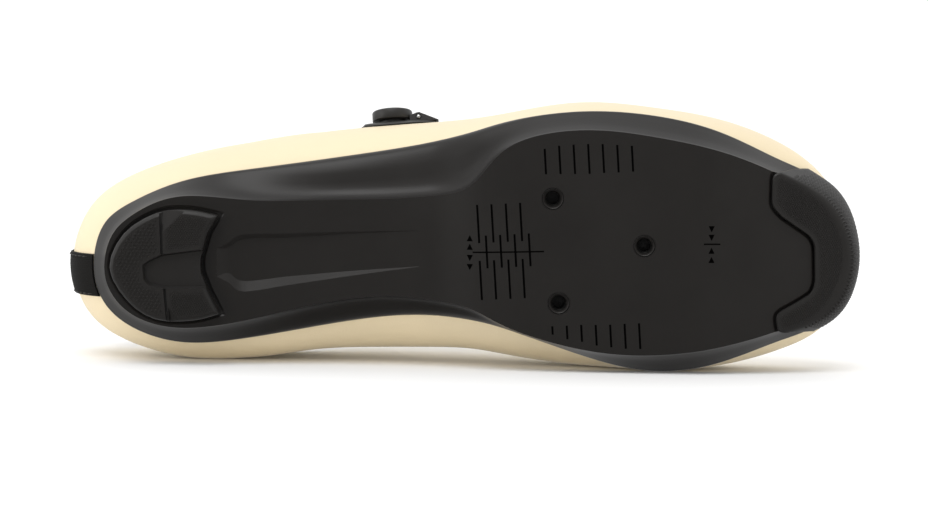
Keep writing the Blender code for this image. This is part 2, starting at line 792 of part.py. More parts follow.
def make_insole():
    t = columns()
    shelf, bed, half, middle = footbed(t)[2:]
    edge = bed + 0.8 * (shelf - bed)
    below = [middle, half, bed, edge]
    rings = [move(ring, INSOLE_CLEARANCE) for ring in below]
    rings += [move(ring, INSOLE_CLEARANCE + INSOLE_THICKNESS) for ring in reversed(below)]
    return finish(add_object("insole", loft("insole", rings)), "foam")


def make_tongue():
    """Padded tongue under both edges of the throat, its free end standing out above the collar."""
    inside = -(UPPER_WALL + TONGUE_CLEARANCE)
    span = np.linspace(0.0, 1.0, 5)[1:-1, None]
    rows = []
    for t in np.arange(TONGUE_START, TONGUE_END, 0.5):
        lap = TONGUE_LAP * np.clip(t - TONGUE_START, 0.1, 1.0) * np.array([1.0, 0.5, 0.0])
        lateral = upper_offset(t, 1.0 - lap, inside)
        medial = upper_offset(TURN - t, 1.0 - lap, inside)
        across = lateral[-1] + span * (medial[-1] - lateral[-1])
        across[:, 2] += TONGUE_ARCH * (1.0 - (2.0 * span[:, 0] - 1.0) ** 2)
        rows.append(np.concatenate([lateral, across, medial[::-1]]))
    root = 0.5 * (rows[0][2] + rows[0][-3])
    shares = np.linspace(-1.0, 1.0, len(rows[0]))
    for reach, wide in TONGUE_TOP:
        row = np.outer(np.ones(len(shares)), root + reach * TONGUE_REACH * np.array(TONGUE_CLIMB))
        row[:, 1] += shares * wide * 0.5 * TONGUE_TOP_WIDTH
        row[:, 2] += TONGUE_ARCH * (1.0 - shares ** 2)
        rows.insert(0, row)
    tongue = add_object("tongue", loft("tongue", [row[::-1] for row in rows], round_about=False))
    thicken(tongue, TONGUE_THICKNESS, -1.0)
    return finish(tongue, "foam")


def place_on_upper(x, z, t, v):
    """The (t, v) of the upper's surface at a place along the shoe and a height, from a first guess."""
    for _ in range(12):
        here = upper_surface(np.float64(t), np.float64(v))
        step = 0.001
        by_t = (upper_surface(np.float64(t + step), np.float64(v)) - here) / step
        by_v = (upper_surface(np.float64(t), np.float64(v + step)) - here) / step
        wrong = np.array([x - here[0], z - here[2]])
        change = np.linalg.solve(np.array([[by_t[0], by_v[0]], [by_t[2], by_v[2]]]), wrong)
        t, v = t + change[0], v + change[1]
    return t, v


def surface_frame(t, v, forward=(1.0, 0.0, 0.0)):
    """Matrix at a point of the upper: its x along the shoe, its z straight out of the surface."""
    out = Vector(upper_normal(np.float64(t), np.float64(v)))
    side = out.cross(Vector(forward)).normalized()
    along = side.cross(out)
    matrix = Matrix((along, side, out)).transposed().to_4x4()
    matrix.translation = Vector(upper_surface(np.float64(t), np.float64(v)))
    return matrix


def drop_on_upper(frame, along, side, guess):
    """The (t, v) of the upper under a point of a surface frame, straight along the frame's z."""
    back = np.array(frame.inverted())
    t, v = guess
    for _ in range(8):
        values = []
        for dt, dv in ((0.0, 0.0), (0.001, 0.0), (0.0, 0.001)):
            point = upper_surface(np.float64(t + dt), np.float64(v + dv))
            values.append((back[:3, :3] @ point + back[:3, 3])[:2])
        slope = np.array([values[1] - values[0], values[2] - values[0]]).T / 0.001
        change = np.linalg.solve(slope, np.array([along, side]) - values[0])
        t, v = t + change[0], v + change[1]
    return t, v


def dial_half_width(along):
    """Half width of the dial's base: round behind the knob, tapering to a tip in front."""
    if along < 0.0:
        return max(0.5 * DIAL_BASE_WIDTH * math.sqrt(1.0 - (along / DIAL_BASE_BACK) ** 2), DIAL_BACK_WIDTH)
    share = (along / DIAL_BASE_FRONT) ** 1.5
    return 0.5 * (DIAL_BASE_WIDTH + (DIAL_TIP_WIDTH - DIAL_BASE_WIDTH) * share)


def make_dial():
    """Base that follows the upper, with its boss and wedge-shaped housing, the knob and the pin."""
    t, v = place_on_upper(DIAL_X, DIAL_Z, *DIAL_GUESS)
    frame = surface_frame(t, v)
    rings = []
    for along in np.linspace(-DIAL_BASE_BACK, DIAL_BASE_FRONT, 9):
        half = dial_half_width(along)
        ring = []
        for side in np.linspace(half, -half, 7):
            ring.append(upper_offset(*drop_on_upper(frame, along, side, (t, v)), DIAL_LIFT))
        rings.append(ring)
    base = add_object("dial_base", loft("dial_base", rings, round_about=False))
    thicken(base, DIAL_BASE_THICKNESS, 1.0)
    root = DIAL_LIFT + 0.5 * DIAL_BASE_THICKNESS
    boss_top = DIAL_LIFT + DIAL_BASE_THICKNESS + DIAL_BOSS_HEIGHT
    boss = turned("dial_boss", ((0.0, boss_top), (DIAL_BOSS_RADIUS, boss_top), (DIAL_BOSS_RADIUS, root),
                                (0.0, root)), frame, CUTTERS)
    combine(base, boss, "UNION")
    front = 0.5 * KNOB_DIAMETER + HOUSING_GAP
    half = 0.5 * HOUSING_WIDTH
    rings = [[(front + run, y, root + rise) for run, rise in HOUSING_SIDE] for y in (half, -half)]
    housing = add_object("dial_housing", loft("dial_housing", rings, capped=True), CUTTERS)
    housing.matrix_world = frame
    combine(base, housing, "UNION")
    pin_place = frame @ Matrix.Translation((front + PIN_FORWARD, 0.0, PIN_LIFT))
    pin_place = pin_place @ Matrix.Rotation(math.radians(90.0), 4, "X")
    hole = 0.5 * PIN_DIAMETER + GAP
    through = half + CUT_REACH
    combine(base, turned("cut_pin", ((0.0, through), (hole, through), (hole, -through), (0.0, -through)),
                         pin_place, CUTTERS))
    finish(base, "plastic")
    reach = half + PIN_PROUD
    radius = 0.5 * PIN_DIAMETER
    finish(turned("dial_pin", ((0.0, reach), (radius - PIN_ROUND, reach), (radius, reach - PIN_ROUND),
                               (radius, -reach), (0.0, -reach)), pin_place), "steel")
    low = boss_top + GAP
    rim = 0.5 * KNOB_DIAMETER
    profile = [(across * rim, low + up * KNOB_HEIGHT) for across, up in KNOB_SIDE]
    finish(turned("dial_knob", profile, frame), "plastic")


def guide_frame(t):
    """Frame of a wire guide beside the throat, its x along the edge towards the toe."""
    ahead = 0.05 if t < SIDES else -0.05
    along = TOP(t + ahead) - TOP(t)
    climb = TOP_HEIGHT(t + ahead) - TOP_HEIGHT(t)
    return surface_frame(t, GUIDE_LEVEL, (along[0], along[1], climb[0]))


def wire_route():
    """Points of the wire: in at the top lateral guide, back and forth, and out of sight in the last."""
    height = GUIDE_LIFT + 0.5 * GUIDE_THICKNESS
    lane = WIRE_LANE * GUIDE_LENGTH
    deep = WIRE_DEPTH * GUIDE_WIDTH
    mouth = 0.5 * GUIDE_WIDTH + WIRE_CLEAR
    route = []
    for number, row in enumerate(GUIDE_ROWS):
        last = number == len(GUIDE_ROWS) - 1
        for side, t in ((1.0, row), (-1.0, TURN - row)):
            frame = guide_frame(t)
            turn = [(-lane, side * mouth), (-lane, side * 0.2 * mouth), (-0.72 * lane, -side * 0.6 * deep),
                    (0.0, -side * 1.6 * deep), (0.72 * lane, -side * 0.6 * deep),
                    (lane, side * 0.2 * mouth), (lane, side * mouth)]
            if number == 0 and side > 0:
                turn = turn[3:]
            if last and side < 0:
                turn = turn[:4]
            route += [frame @ Vector((x, y, height)) for x, y in turn]
    return route


def tube(name, points, radius, collection=None):
    """Tube along points, each straight stretch divided so that the bends stay round."""
    line = smooth_line(points, 2)
    curve = bpy.data.curves.new(name, "CURVE")
    curve.dimensions = "3D"
    curve.bevel_depth = radius
    curve.bevel_resolution = 1
    curve.use_fill_caps = True
    spline = curve.splines.new("POLY")
    spline.points.add(len(line) - 1)
    for place, point in zip(spline.points, line):
        place.co = (*point, 1.0)
    return add_object(name, curve, collection)


def as_mesh(item):
    """Mesh object of the same name and place as a curve, its caps welded, in place of the curve."""
    bpy.context.view_layer.update()
    evaluated = item.evaluated_get(bpy.context.evaluated_depsgraph_get())
    work = bmesh.new()
    source = bpy.data.meshes.new_from_object(evaluated)
    work.from_mesh(source)
    bmesh.ops.remove_doubles(work, verts=work.verts, dist=WELD)
    name, matrix, collection = item.name, item.matrix_world.copy(), item.users_collection[0]
    bpy.data.objects.remove(item)
    made = add_object(name, mesh_from(work, name), collection)
    made.matrix_world = matrix
    return made


def make_lace():
    route = wire_route()
    tunnel = as_mesh(tube("cut_tunnel", route, 0.5 * WIRE_DIAMETER + GAP, CUTTERS))
    finish(as_mesh(tube("lace_wire", route, 0.5 * WIRE_DIAMETER)), "steel")
    places = list(GUIDE_ROWS) + [TURN - row for row in GUIDE_ROWS]
    for number, t in enumerate(places, 1):
        work = bmesh.new()
        bmesh.ops.create_cube(work, size=1.0)
        bmesh.ops.scale(work, verts=work.verts, vec=(GUIDE_LENGTH, GUIDE_WIDTH, GUIDE_THICKNESS))
        bmesh.ops.translate(work, verts=work.verts, vec=(0.0, 0.0, GUIDE_LIFT + 0.5 * GUIDE_THICKNESS))
        guide = add_object(f"wire_guide_{number}", mesh_from(work, "wire_guide"))
        guide.matrix_world = guide_frame(t)
        round_edges(guide, GUIDE_EDGE, 1)
        combine(guide, tunnel)
        finish(guide, "plastic")


def make_inserts():
    low = COUNTERSINK_DEPTH + INSERT_STEP
    seat = SOLE_THICKNESS - FLANGE_THICKNESS
    bore, barrel, flange = 0.5 * THREAD_BORE, 0.5 * INSERT_BARREL, 0.5 * INSERT_FLANGE
    profile = ((bore, SOLE_THICKNESS), (flange, SOLE_THICKNESS), (flange, seat), (barrel, seat),
               (barrel, low), (bore, low))
    for number, (x, y) in enumerate(bolt_places(), 1):
        finish(turned(f"cleat_insert_{number}", profile, Matrix.Translation((x, y, 0.0))), "steel")


def solid_points(item, graph):
    """Corners of a part's finished mesh, its volume and its centre of volume."""
    shape = item.evaluated_get(graph)
    mesh = shape.to_mesh()
    mesh.calc_loop_triangles()
    corners = np.array([tuple(item.matrix_world @ vert.co) for vert in mesh.vertices])
    faces = np.array([tuple(face.vertices) for face in mesh.loop_triangles])
    shape.to_mesh_clear()
    a, b, c = (corners[faces[:, k]] for k in range(3))
    volumes = np.einsum("ij,ij->i", a, np.cross(b, c)) / 6.0
    centre = (volumes[:, None] * (a + b + c) / 4.0).sum(axis=0) / volumes.sum()
    return corners, volumes.sum(), centre


def resting_side(corners, centre):
    """Outward direction of the flat side that the shoe rests on, lying on its medial side."""
    hull = bmesh.new()
    for corner in corners:
        hull.verts.new(corner)
    bmesh.ops.convex_hull(hull, input=hull.verts)
    best = None
    for face in hull.faces:
        normal = face.normal
        if normal.y < 0.8 or len(face.verts) != 3:
            continue
        a, b, c = (vert.co for vert in face.verts)
        spot = Vector(centre) - normal * (Vector(centre) - a).dot(normal)
        inside = all((end - start).cross(spot - start).dot(normal) >= 0.0
                     for start, end in ((a, b), (b, c), (c, a)))
        if inside and (best is None or face.calc_area() > best[0]):
            best = (face.calc_area(), normal.copy())
    hull.free()
    return best[1]


def lay_down(parts):
    """Parent every part to one empty and turn it so that the shoe lies on its medial side."""
    graph = bpy.context.evaluated_depsgraph_get()
    shapes = [(*solid_points(part, graph), part["density"]) for part in parts]
    corners = np.concatenate([shape[0] for shape in shapes])
    weights = np.array([shape[1] * shape[3] for shape in shapes])
    centre = (weights[:, None] * np.array([shape[2] for shape in shapes])).sum(axis=0) / weights.sum()
    down = resting_side(corners, centre)
    up = -down
    ahead = (Vector((1.0, 0.0, 0.0)) - up * up.x).normalized()
    turn = Matrix((ahead, up.cross(ahead), up))
    turned_corners = corners @ np.array(turn).T
    low, high = turned_corners.min(axis=0), turned_corners.max(axis=0)
    shift = Vector((-(low[0] + high[0]) / 2.0, -(low[1] + high[1]) / 2.0, -low[2]))
    pose = Matrix.Translation(shift) @ turn.to_4x4()
    carrier = bpy.data.objects.new("shoe_frame", None)
    bpy.context.scene.collection.objects.link(carrier)
    for item in list(PARTS.objects) + list(CUTTERS.objects):
        item.parent = carrier
    carrier.matrix_world = pose


clear_scene()
PARTS = new_collection("cycling_shoe")
CUTTERS = new_collection("cutters")
MATERIALS = {
    "upper": material("cream_microfibre", (0.90, 0.83, 0.66), 0.55),
    "plate": material("black_composite", (0.020, 0.020, 0.020), 0.55),
    "rubber": material("black_rubber", (0.016, 0.016, 0.016), 0.75),
    "foam": material("black_lining", (0.030, 0.030, 0.030), 0.90),
    "plastic": material("black_plastic", (0.025, 0.025, 0.025), 0.45),
    "steel": material("bright_steel", (0.62, 0.62, 0.60), 0.30, 1.0),
    "woven": material("black_webbing", (0.020, 0.020, 0.020), 0.90),
}
make_outsole()
make_toe_pad()
make_heel_pad()
make_inserts()
make_upper()
make_heel_strip()
make_insole()
make_tongue()
make_dial()
make_lace()
bpy.context.view_layer.update()
lay_down(list(PARTS.objects))
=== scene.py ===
"""Looks of the right road cycling shoe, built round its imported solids.

Every piece is made in the shoe's own frame: x from heel to toe, y towards the medial side, z up from the
sole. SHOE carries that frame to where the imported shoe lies. All sizes are in metres.
"""
import functools
import json
import math

import bmesh
import bpy
import numpy as np
from mathutils import Matrix, Vector

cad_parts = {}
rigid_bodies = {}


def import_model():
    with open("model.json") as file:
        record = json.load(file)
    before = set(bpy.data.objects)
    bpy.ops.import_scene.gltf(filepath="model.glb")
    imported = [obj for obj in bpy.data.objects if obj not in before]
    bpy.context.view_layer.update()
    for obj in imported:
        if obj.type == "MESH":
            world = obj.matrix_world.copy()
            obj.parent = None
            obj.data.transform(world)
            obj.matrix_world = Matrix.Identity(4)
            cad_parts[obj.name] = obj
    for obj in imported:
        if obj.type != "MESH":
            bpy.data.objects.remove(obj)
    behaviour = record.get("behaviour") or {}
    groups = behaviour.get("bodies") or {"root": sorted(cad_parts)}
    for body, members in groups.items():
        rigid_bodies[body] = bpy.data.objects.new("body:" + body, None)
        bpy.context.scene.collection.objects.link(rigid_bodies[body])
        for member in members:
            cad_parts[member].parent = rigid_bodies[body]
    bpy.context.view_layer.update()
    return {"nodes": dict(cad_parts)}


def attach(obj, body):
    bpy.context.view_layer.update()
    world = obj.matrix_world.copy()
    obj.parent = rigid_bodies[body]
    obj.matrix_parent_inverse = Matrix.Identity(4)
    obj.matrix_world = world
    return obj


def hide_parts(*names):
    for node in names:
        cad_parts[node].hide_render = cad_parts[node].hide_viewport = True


# Overall sizes in metres, European size 42
LENGTH = 0.2815
BALL_WIDTH = 0.0944
HEEL_WIDTH = 0.0715
HEEL_HEIGHT = 0.071
INSTEP_HEIGHT = 0.080
VAMP_HEIGHT = 0.057
UPPER_WALL = 0.002
GAP = 0.0003

# Sole: rise of the plate in the arch and at the toe, height of its side, thickness under the foot
ARCH_RISE = 0.011
TOE_SPRING = 0.020
SIDE_HEIGHT = 0.011
SOLE_THICKNESS = 0.0058
RIM_LAND = 0.0026
RIM_WALL_SLOPE = 0.0008
RIM_WALL_DEPTH = 0.002
SHELF_SHARE = 0.25
SHELF_STEP = 0.001
SHELF_RISE = 0.6
BED_INSET = 0.0075
SHANK_DEPTH = 0.0016
INSOLE_THICKNESS = 0.003
INSOLE_CLEARANCE = 0.0007
INSOLE_SPREAD = 0.8
INSOLE_BULGE = 0.0006

# Cleat fixing: three threaded inserts, the usual pattern for a road cleat
BOLT_SPACING = 0.0365
BOLT_REACH = 0.0308
BOLT_CENTRE_X = 0.1739
BOLT_CENTRE_Y = -0.0058
BOLT_TURN = math.radians(3.3)
THREAD_BORE = 0.0042
INSERT_BARREL = 0.0059
INSERT_FLANGE = 0.0140
FLANGE_THICKNESS = 0.0011
COUNTERSINK_DEPTH = 0.0006

# Heel pad and toe pad
HEEL_PAD_START = 0.0177
HEEL_PAD_LENGTH = 0.0404
HEEL_PAD_WIDTH = 0.0412
HEEL_PAD_SINK = 0.0016
HEEL_PAD_SLIT = 0.0009
TREAD_RECESS = 0.0018
TREAD_GROOVE = 0.0010
TREAD_GROOVE_WIDTH = 0.0009
TOE_PAD_SIDE = 0.0033
TOE_PAD_END = 0.0013
TOE_PAD_GROWTH = (0.945, 0.985)
TOE_PAD_UNDER = 0.0018

# Heel strip and tongue
STRIP_WIDTH = 0.0149
STRIP_OFFSET = 0.0040
STRIP_THICKNESS = 0.0007
STRIP_TOP = 0.86
TONGUE_THICKNESS = 0.004
TONGUE_CLEARANCE = 0.0009
TONGUE_REACH = 0.022
TONGUE_TOP_WIDTH = 0.034
TONGUE_ARCH = 0.0015
TONGUE_CLIMB = (-0.55, 0.0, 0.83)
TONGUE_START = 7.0
TONGUE_END = 13.6
TONGUE_LAP = 0.16
TONGUE_STEP = 0.5

# Free end of the tongue: share of its reach above the throat, share of its top width
TONGUE_TOP = ((0.16, 0.52), (0.42, 0.70), (0.70, 0.94), (0.88, 1.00), (1.00, 0.88))

# Lace dial on the lateral quarter
DIAL_X = 0.1162
DIAL_Z = 0.0500
DIAL_GUESS = (6.3, 0.5)
DIAL_LIFT = 0.00035
DIAL_BASE_BACK = 0.0113
DIAL_BASE_FRONT = 0.0167
DIAL_BASE_WIDTH = 0.0196
DIAL_TIP_WIDTH = 0.0080
DIAL_LEAST_HALF = 0.003
DIAL_TAPER = 1.5
DIAL_BASE_THICKNESS = 0.0010
DIAL_END_FADE = 0.0012
DIAL_END_SHARE = 0.15
DIAL_EDGE = 0.995
DIAL_ROUNDING = 8
DIAL_BOSS_RADIUS = 0.0050
DIAL_BOSS_HEIGHT = 0.0004
KNOB_DIAMETER = 0.0146
KNOB_HEIGHT = 0.0039
HOUSING_WIDTH = 0.0092
HOUSING_HEIGHT = 0.0042
HOUSING_GAP = 0.0006
HOUSING_REACH = 0.0020
HOUSING_CREST = (0.0019, 0.0010)
HOUSING_DIP = 0.0001
HOUSING_FALL = 0.0012
HOUSING_LIP = 0.0002
HOUSING_EDGE = 0.00025
KNOB_CLEARANCE = 0.0005
KNOB_ROOM = 0.02
PIN_DIAMETER = 0.0014
PIN_AHEAD = 0.0016
PIN_RISE = 0.0004
PIN_PROUD = 0.0001
PIN_HOLE_OVER = 0.001

# Lace wire and its guides
WIRE_DIAMETER = 0.0012
GUIDE_LENGTH = 0.0115
GUIDE_WIDTH = 0.0066
GUIDE_THICKNESS = 0.0030
GUIDE_LIFT = 0.0005
GUIDE_EDGE = 0.0012
GUIDE_ROWS = (8.3, 10.0, 11.7)
GUIDE_LEVEL = 0.93
GUIDE_AHEAD = 0.05
WIRE_LANE = 0.27 * GUIDE_LENGTH
WIRE_BEND = 0.12 * GUIDE_WIDTH
WIRE_MOUTH = 0.5 * GUIDE_WIDTH + 0.002

# The wire's turn through a guide: share of WIRE_LANE along, shares of WIRE_MOUTH and of
# WIRE_BEND across
WIRE_TURN = ((-1.0, 1.0, 0.0), (-1.0, 0.2, 0.0), (-0.72, 0.0, -0.6), (0.0, 0.0, -1.6), (0.72, 0.0, -0.6),
             (1.0, 0.2, 0.0), (1.0, 1.0, 0.0))

# Viewpoint of the photograph, in the shoe's frame
PHOTO_WIDTH_PX = 928
FOCAL_LENGTH_PX = 2880
SENSOR_WIDTH_MM = 36.0
VIEW_DISTANCE = 1.0
VIEW_TILT = math.radians(4.5)
VIEW_TARGET = (0.142, -0.005, 0.0)

# Fineness of the shown meshes
WELD = 0.000002
SOLE_COLUMNS = 400
UPPER_COLUMNS = 400
INSOLE_COLUMNS = 180
SOLE_ROWS = 12
SKIN_SKIP = 4
LINING_SKIP = 3
UPPER_LEVELS = 90
LINING_LEVELS = 46
ROUND_STEPS = 64
TOE_ROWS = 24
PLATE_ROWS = 3
RIDGE_POINTS = 400
SLOPE_POINTS = 60
THREAD_STEPS = 48
BASE_ROWS = 48
BASE_COLUMNS = 25
SEAM_POINTS = 900
HALVINGS = 40
SEARCH_ROUNDS = 12
DROP_ROUNDS = 8
SEARCH_STEP = 0.001

# Side of the sole from the plate's edge to its rim, plain and along the waist, and the toe pad's at its
# ends and its tip: share of the way out, share of the way up
PLAIN_SIDE = ((0.00, 0.00), (0.015, 0.02), (0.04, 0.06), (0.12, 0.15), (0.30, 0.33), (0.50, 0.50),
              (0.70, 0.66), (0.86, 0.79), (0.93, 0.845), (0.965, 0.875), (0.985, 0.90), (0.996, 0.935),
              (1.00, 0.965), (1.00, 1.00))
COVE_SIDE = ((0.00, 0.00), (0.012, 0.05), (0.04, 0.15), (0.10, 0.27), (0.20, 0.37), (0.34, 0.44),
             (0.50, 0.49), (0.66, 0.545), (0.80, 0.625), (0.90, 0.71), (0.955, 0.79), (0.985, 0.865),
             (1.00, 0.94), (1.00, 1.00))
COVE_PLACES = (0.16, 0.36, 0.50, 0.60)
TOE_END_SIDE = ((0.03, 0.00), (0.08, 0.01), (0.13, 0.03), (0.18, 0.08), (0.32, 0.24), (0.48, 0.42),
                (0.66, 0.61), (0.82, 0.77), (0.93, 0.88), (0.98, 0.94), (1.00, 1.00))
TOE_TIP_SIDE = ((0.10, 0.01), (0.25, 0.03), (0.40, 0.07), (0.55, 0.14), (0.68, 0.24), (0.78, 0.35),
                (0.86, 0.48), (0.92, 0.61), (0.96, 0.74), (0.99, 0.87), (1.00, 1.00))
RIDGE_TIP = 0.3
RIDGE_REACH = 2.6
PAD_POINTS = 420
PAD_SOFTENING = 7
PAD_CHAMFER = ((0.0013, 0.0), (0.0010, 0.00015), (0.0005, 0.0006), (0.0002, 0.0010), (0.0, 0.0016))
SEAT_LIP = 0.0006
SEAT_REACH = 0.004
SEAT_LIP_DEPTH = 0.6 * SEAT_LIP
TOE_MOAT = 0.0011
TOE_MOAT_FOOT = 0.0002
TOE_MOAT_LAP = 0.0010
TOE_MOAT_DEPTH = 0.0009
SHANK_SLOPES = (1.1, 2.2)
SHANK_LIP = 0.0004
SHANK_BACK = 0.1975
SHANK_BACK_SLOPE = 0.0085
SHANK_BACK_DEPTH = 0.02
SHANK_BLEND = 0.6
SHANK_LEAST_DEPTH = 0.01
SHANK_STEPS = 6

# Cleat hole from the foot's side to the sole's: radius and height
INSERT_STEP = 0.0006
HOLE_PROFILE = ((0.0, 0.0070), (0.0073, 0.0070), (0.0073, 0.0044), (0.00325, 0.0044), (0.00325, 0.00118),
                (0.00272, 0.00112), (0.00278, 0.0010), (0.00325, 0.00035), (0.00345, 0.00022),
                (0.0036, 0.00030), (0.0036, 0.0008), (0.00385, 0.0008), (0.00385, -0.001), (0.0, -0.001))
THREAD_PITCH = 0.0008
THREAD_DEPTH = 0.00022
THREAD_RUN_IN = 0.0005
INSERT_EDGE = 0.0002
LEAD_WIDTH = 0.00055
LEAD_DEPTH = 0.0011

# Marks for setting the cleat, along and across the line of its bolts from their middle: start, step and
# number along, low and high across
MARK_WIDTH = 0.00068
LONG_WIDTH = 0.00048
MARK_PROUD = 0.00005
MARK_DEPTH = 0.0003
MARK_STEP = 0.00503
MARK_STRETCH = 0.001
ARROW_SIZE = 0.0021
LADDERS = (
    (-0.0264, 0.00497, 4, -0.0175, -0.0042),
    (-0.0240, 0.00498, 4, -0.0067, 0.0047),
    (-0.0266, 0.00497, 4, 0.0020, 0.0157),
)
LATERAL_START = -0.00192
LATERAL_LINES = ((-0.0357, -0.0269), (-0.0365, -0.0267), (-0.0366, -0.0264), (-0.0365, -0.0262),
                 (-0.0362, -0.0262), (-0.0356, -0.0261), (-0.0350, -0.0261))
MEDIAL_START = -0.0027
MEDIAL_LINES = ((0.0261, 0.0290), (0.0262, 0.0309), (0.0262, 0.0321), (0.0265, 0.0337),
                (0.0267, 0.0346), (0.0267, 0.0354), (0.0268, 0.0358))
LONG_LINES = (((0.1450, -0.0052), (0.1698, -0.0057)), ((0.2253, -0.0082), (0.2311, -0.0081)))
ARROWS = ((0.1440, -0.0101, -1), (0.1440, -0.0071, -1), (0.1440, -0.0032, 1), (0.1440, 0.0000, 1),
          (0.2280, -0.0134, 1), (0.2280, -0.0104, 1), (0.2280, -0.0059, -1), (0.2280, -0.0027, -1))

# Tread of the two pads
STUD_SINK = 0.00005
STUD_FADE = 0.0012
COARSE_PITCH = 0.00140
COARSE_RADIUS = 0.00052
COARSE_HEIGHT = 0.00028
FINE_PITCH = 0.00085
FINE_RADIUS = 0.00034
FINE_HEIGHT = 0.00020
HEEL_BORDER = 0.0012
LEAST_STUD = 0.25
CUT_START = -0.001
MIDDLE_SLOPE = 0.0007
FACET_DEPTHS = (0.0022, 0.0008, 0.0)
HEEL_FACETS = (((0.474, -0.530), (0.735, -0.530), (0.486, -0.300)),
               ((0.540, 0.530), (0.690, 0.530), (0.530, 0.330)))
TOE_BEVEL = 0.0005
TOE_BORDER = 0.0010
TOE_STUD_BOX = ((0.245, -0.040), (0.285, 0.030))
TOE_FORM_BELOW = 0.006
TOE_FORM_TOP = 0.060
TOE_LID = 0.004
RIDGE_ROW = 2
KNURL_START = 11.8
KNURL_END = 18.2
KNURL_LOW = 0.76
KNURL_HIGH = 0.985
KNURL_ROWS = 9
KNURL_PITCH = 0.0015
KNURL_HEIGHT = 0.00055
KNURL_FADE = 0.75

# Upper: outer layer and lining, padding round the collar, seam along the edge
SKIN = 0.0011
LINING_GAP = 0.00005
LINING_DROP = 0.008
LINING_FOOT = 0.00024
COLLAR_END = 6.5
COLLAR_LOW = 0.70
COLLAR_PAD = 0.0024
COLLAR_FADE = 2.0
SEAM_LEVEL = 0.955
STITCH_LENGTH = 0.0022
STITCH_RADIUS = 0.00022
STITCH_STEP = 1.35
STITCH_ARCH = (-0.6, 0.35, 0.6, 0.35, -0.6)

# Soft folds of the upper: two ends of a line in the shoe's frame, depth and width
CREASES = (
    ((0.186, -0.040, 0.040), (0.196, 0.000, 0.058), 0.0007, 0.0040),
    ((0.198, -0.044, 0.034), (0.210, -0.004, 0.054), 0.0005, 0.0035),
    ((0.190, 0.036, 0.038), (0.199, 0.006, 0.057), 0.0006, 0.0040),
    ((0.060, 0.034, 0.036), (0.084, 0.030, 0.048), 0.0005, 0.0050),
    ((0.064, -0.038, 0.040), (0.086, -0.040, 0.052), 0.0005, 0.0050),
    ((0.018, -0.022, 0.050), (0.040, -0.031, 0.056), 0.0004, 0.0040),
)
CREASE_FADE = 0.6
CREASE_BORDERS = (0.12, 0.10)
SWELL_SHARE = 0.45
SWELL_DISTANCE = 1.9

# Heel tape, tongue, dial and wire
STRIP_CORDS = 22
STRIP_ROWS = 110
STRIP_RELIEF = 0.00012
STRIP_SEAMS = (0.07, 0.93)
STRIP_BORDER = 0.03
STRIP_THIN = 0.3
WARP_MIDDLE = 0.6
WEFT_SHARE = 0.5
STRIP_SEAM_ENDS = (0.03, 0.02)
STRIP_SEAM_POINTS = 40
STRIP_SEARCH = (-2.0, 2.0)
TONGUE_CHANNELS = (0.07, 0.13, 0.19, 0.25)
TONGUE_CALM = 2.0
TONGUE_BORDERS = (0.16, 0.06, 0.04)
CHANNEL_DEPTH = 0.35
CHANNEL_WIDTH = 0.008
TONGUE_THIN = 0.28
TONGUE_DIP = 0.12
KNOB_PROFILE = ((0.0, 1.00), (0.30, 1.00), (0.36, 0.98), (0.42, 1.00), (0.78, 1.00), (0.90, 0.98),
                (0.955, 0.95), (0.985, 0.90), (1.00, 0.82), (1.00, 0.10), (0.97, 0.02), (0.90, 0.0),
                (0.0, 0.0))
KNOB_STEPS = 96

# Head of the dial's pin: share of its radius, rise beyond its reach
PIN_HEAD = ((0.0, 0.0002), (0.5, 0.00015), (0.9, 0.0), (1.0, -0.0002))
WIRE_STRANDS = 6
WIRE_LAY = 2600.0
WIRE_RELIEF = 0.00012

# Finishes and light
PATCH_SIZE = 0.03
PATCH_DETAIL = 4.0
PATCH_RANGE = (0.3, 0.7)
ROUGHNESS_SPREAD = 0.06
SHEEN_ROUGHNESS = 0.4
COAT_ROUGHNESS = 0.3
FLOOR_WIDTH = 120.0
WORLD_UP = (0.0, 0.70, 0.70)
WORLD_LOW = 0.24
WORLD_HIGH = 1.04
SUN_FROM = (-0.15, -0.50, 1.0)
SUN_SPREAD = math.radians(40.0)
SUN_POWER = 1.25
FLOOR_SHADE = 0.95
FLOOR_ROUGHNESS = 0.9
FLOOR_GLOSS = 0.1
PALE_LIGHT = (1.0, 1.0, 1.0)
WARM_LIGHT = (1.0, 0.88, 0.66)

# Area lights: name, place, aim, size, power, colour and whether glossy surfaces mirror them
LIGHTS = (
    ("left", (-0.9, -0.35, 0.25), (0.0, 0.0, 0.04), 0.6, 1.3, PALE_LIGHT, True),
    ("low_left", (-0.60, -0.60, 0.05), (-0.03, 0.0, 0.01), 0.20, 1.2, WARM_LIGHT, False),
    ("low_right", (0.60, -0.60, 0.05), (0.03, 0.0, 0.01), 0.20, 1.2, WARM_LIGHT, False),
)

# Level of the upper's widest line, the curve's pull beside rim and widest line, and where the breadth
# and the shoe's height change along the length
WIDEST = 0.36
RIM_PULL = (0.6, 0.25)
WIDE_PULL = (0.45, 0.5)
BREADTH_START = 0.20
BREADTH_REACH = 0.42
HEIGHT_PLACES = (0.05, 0.38, 0.74)

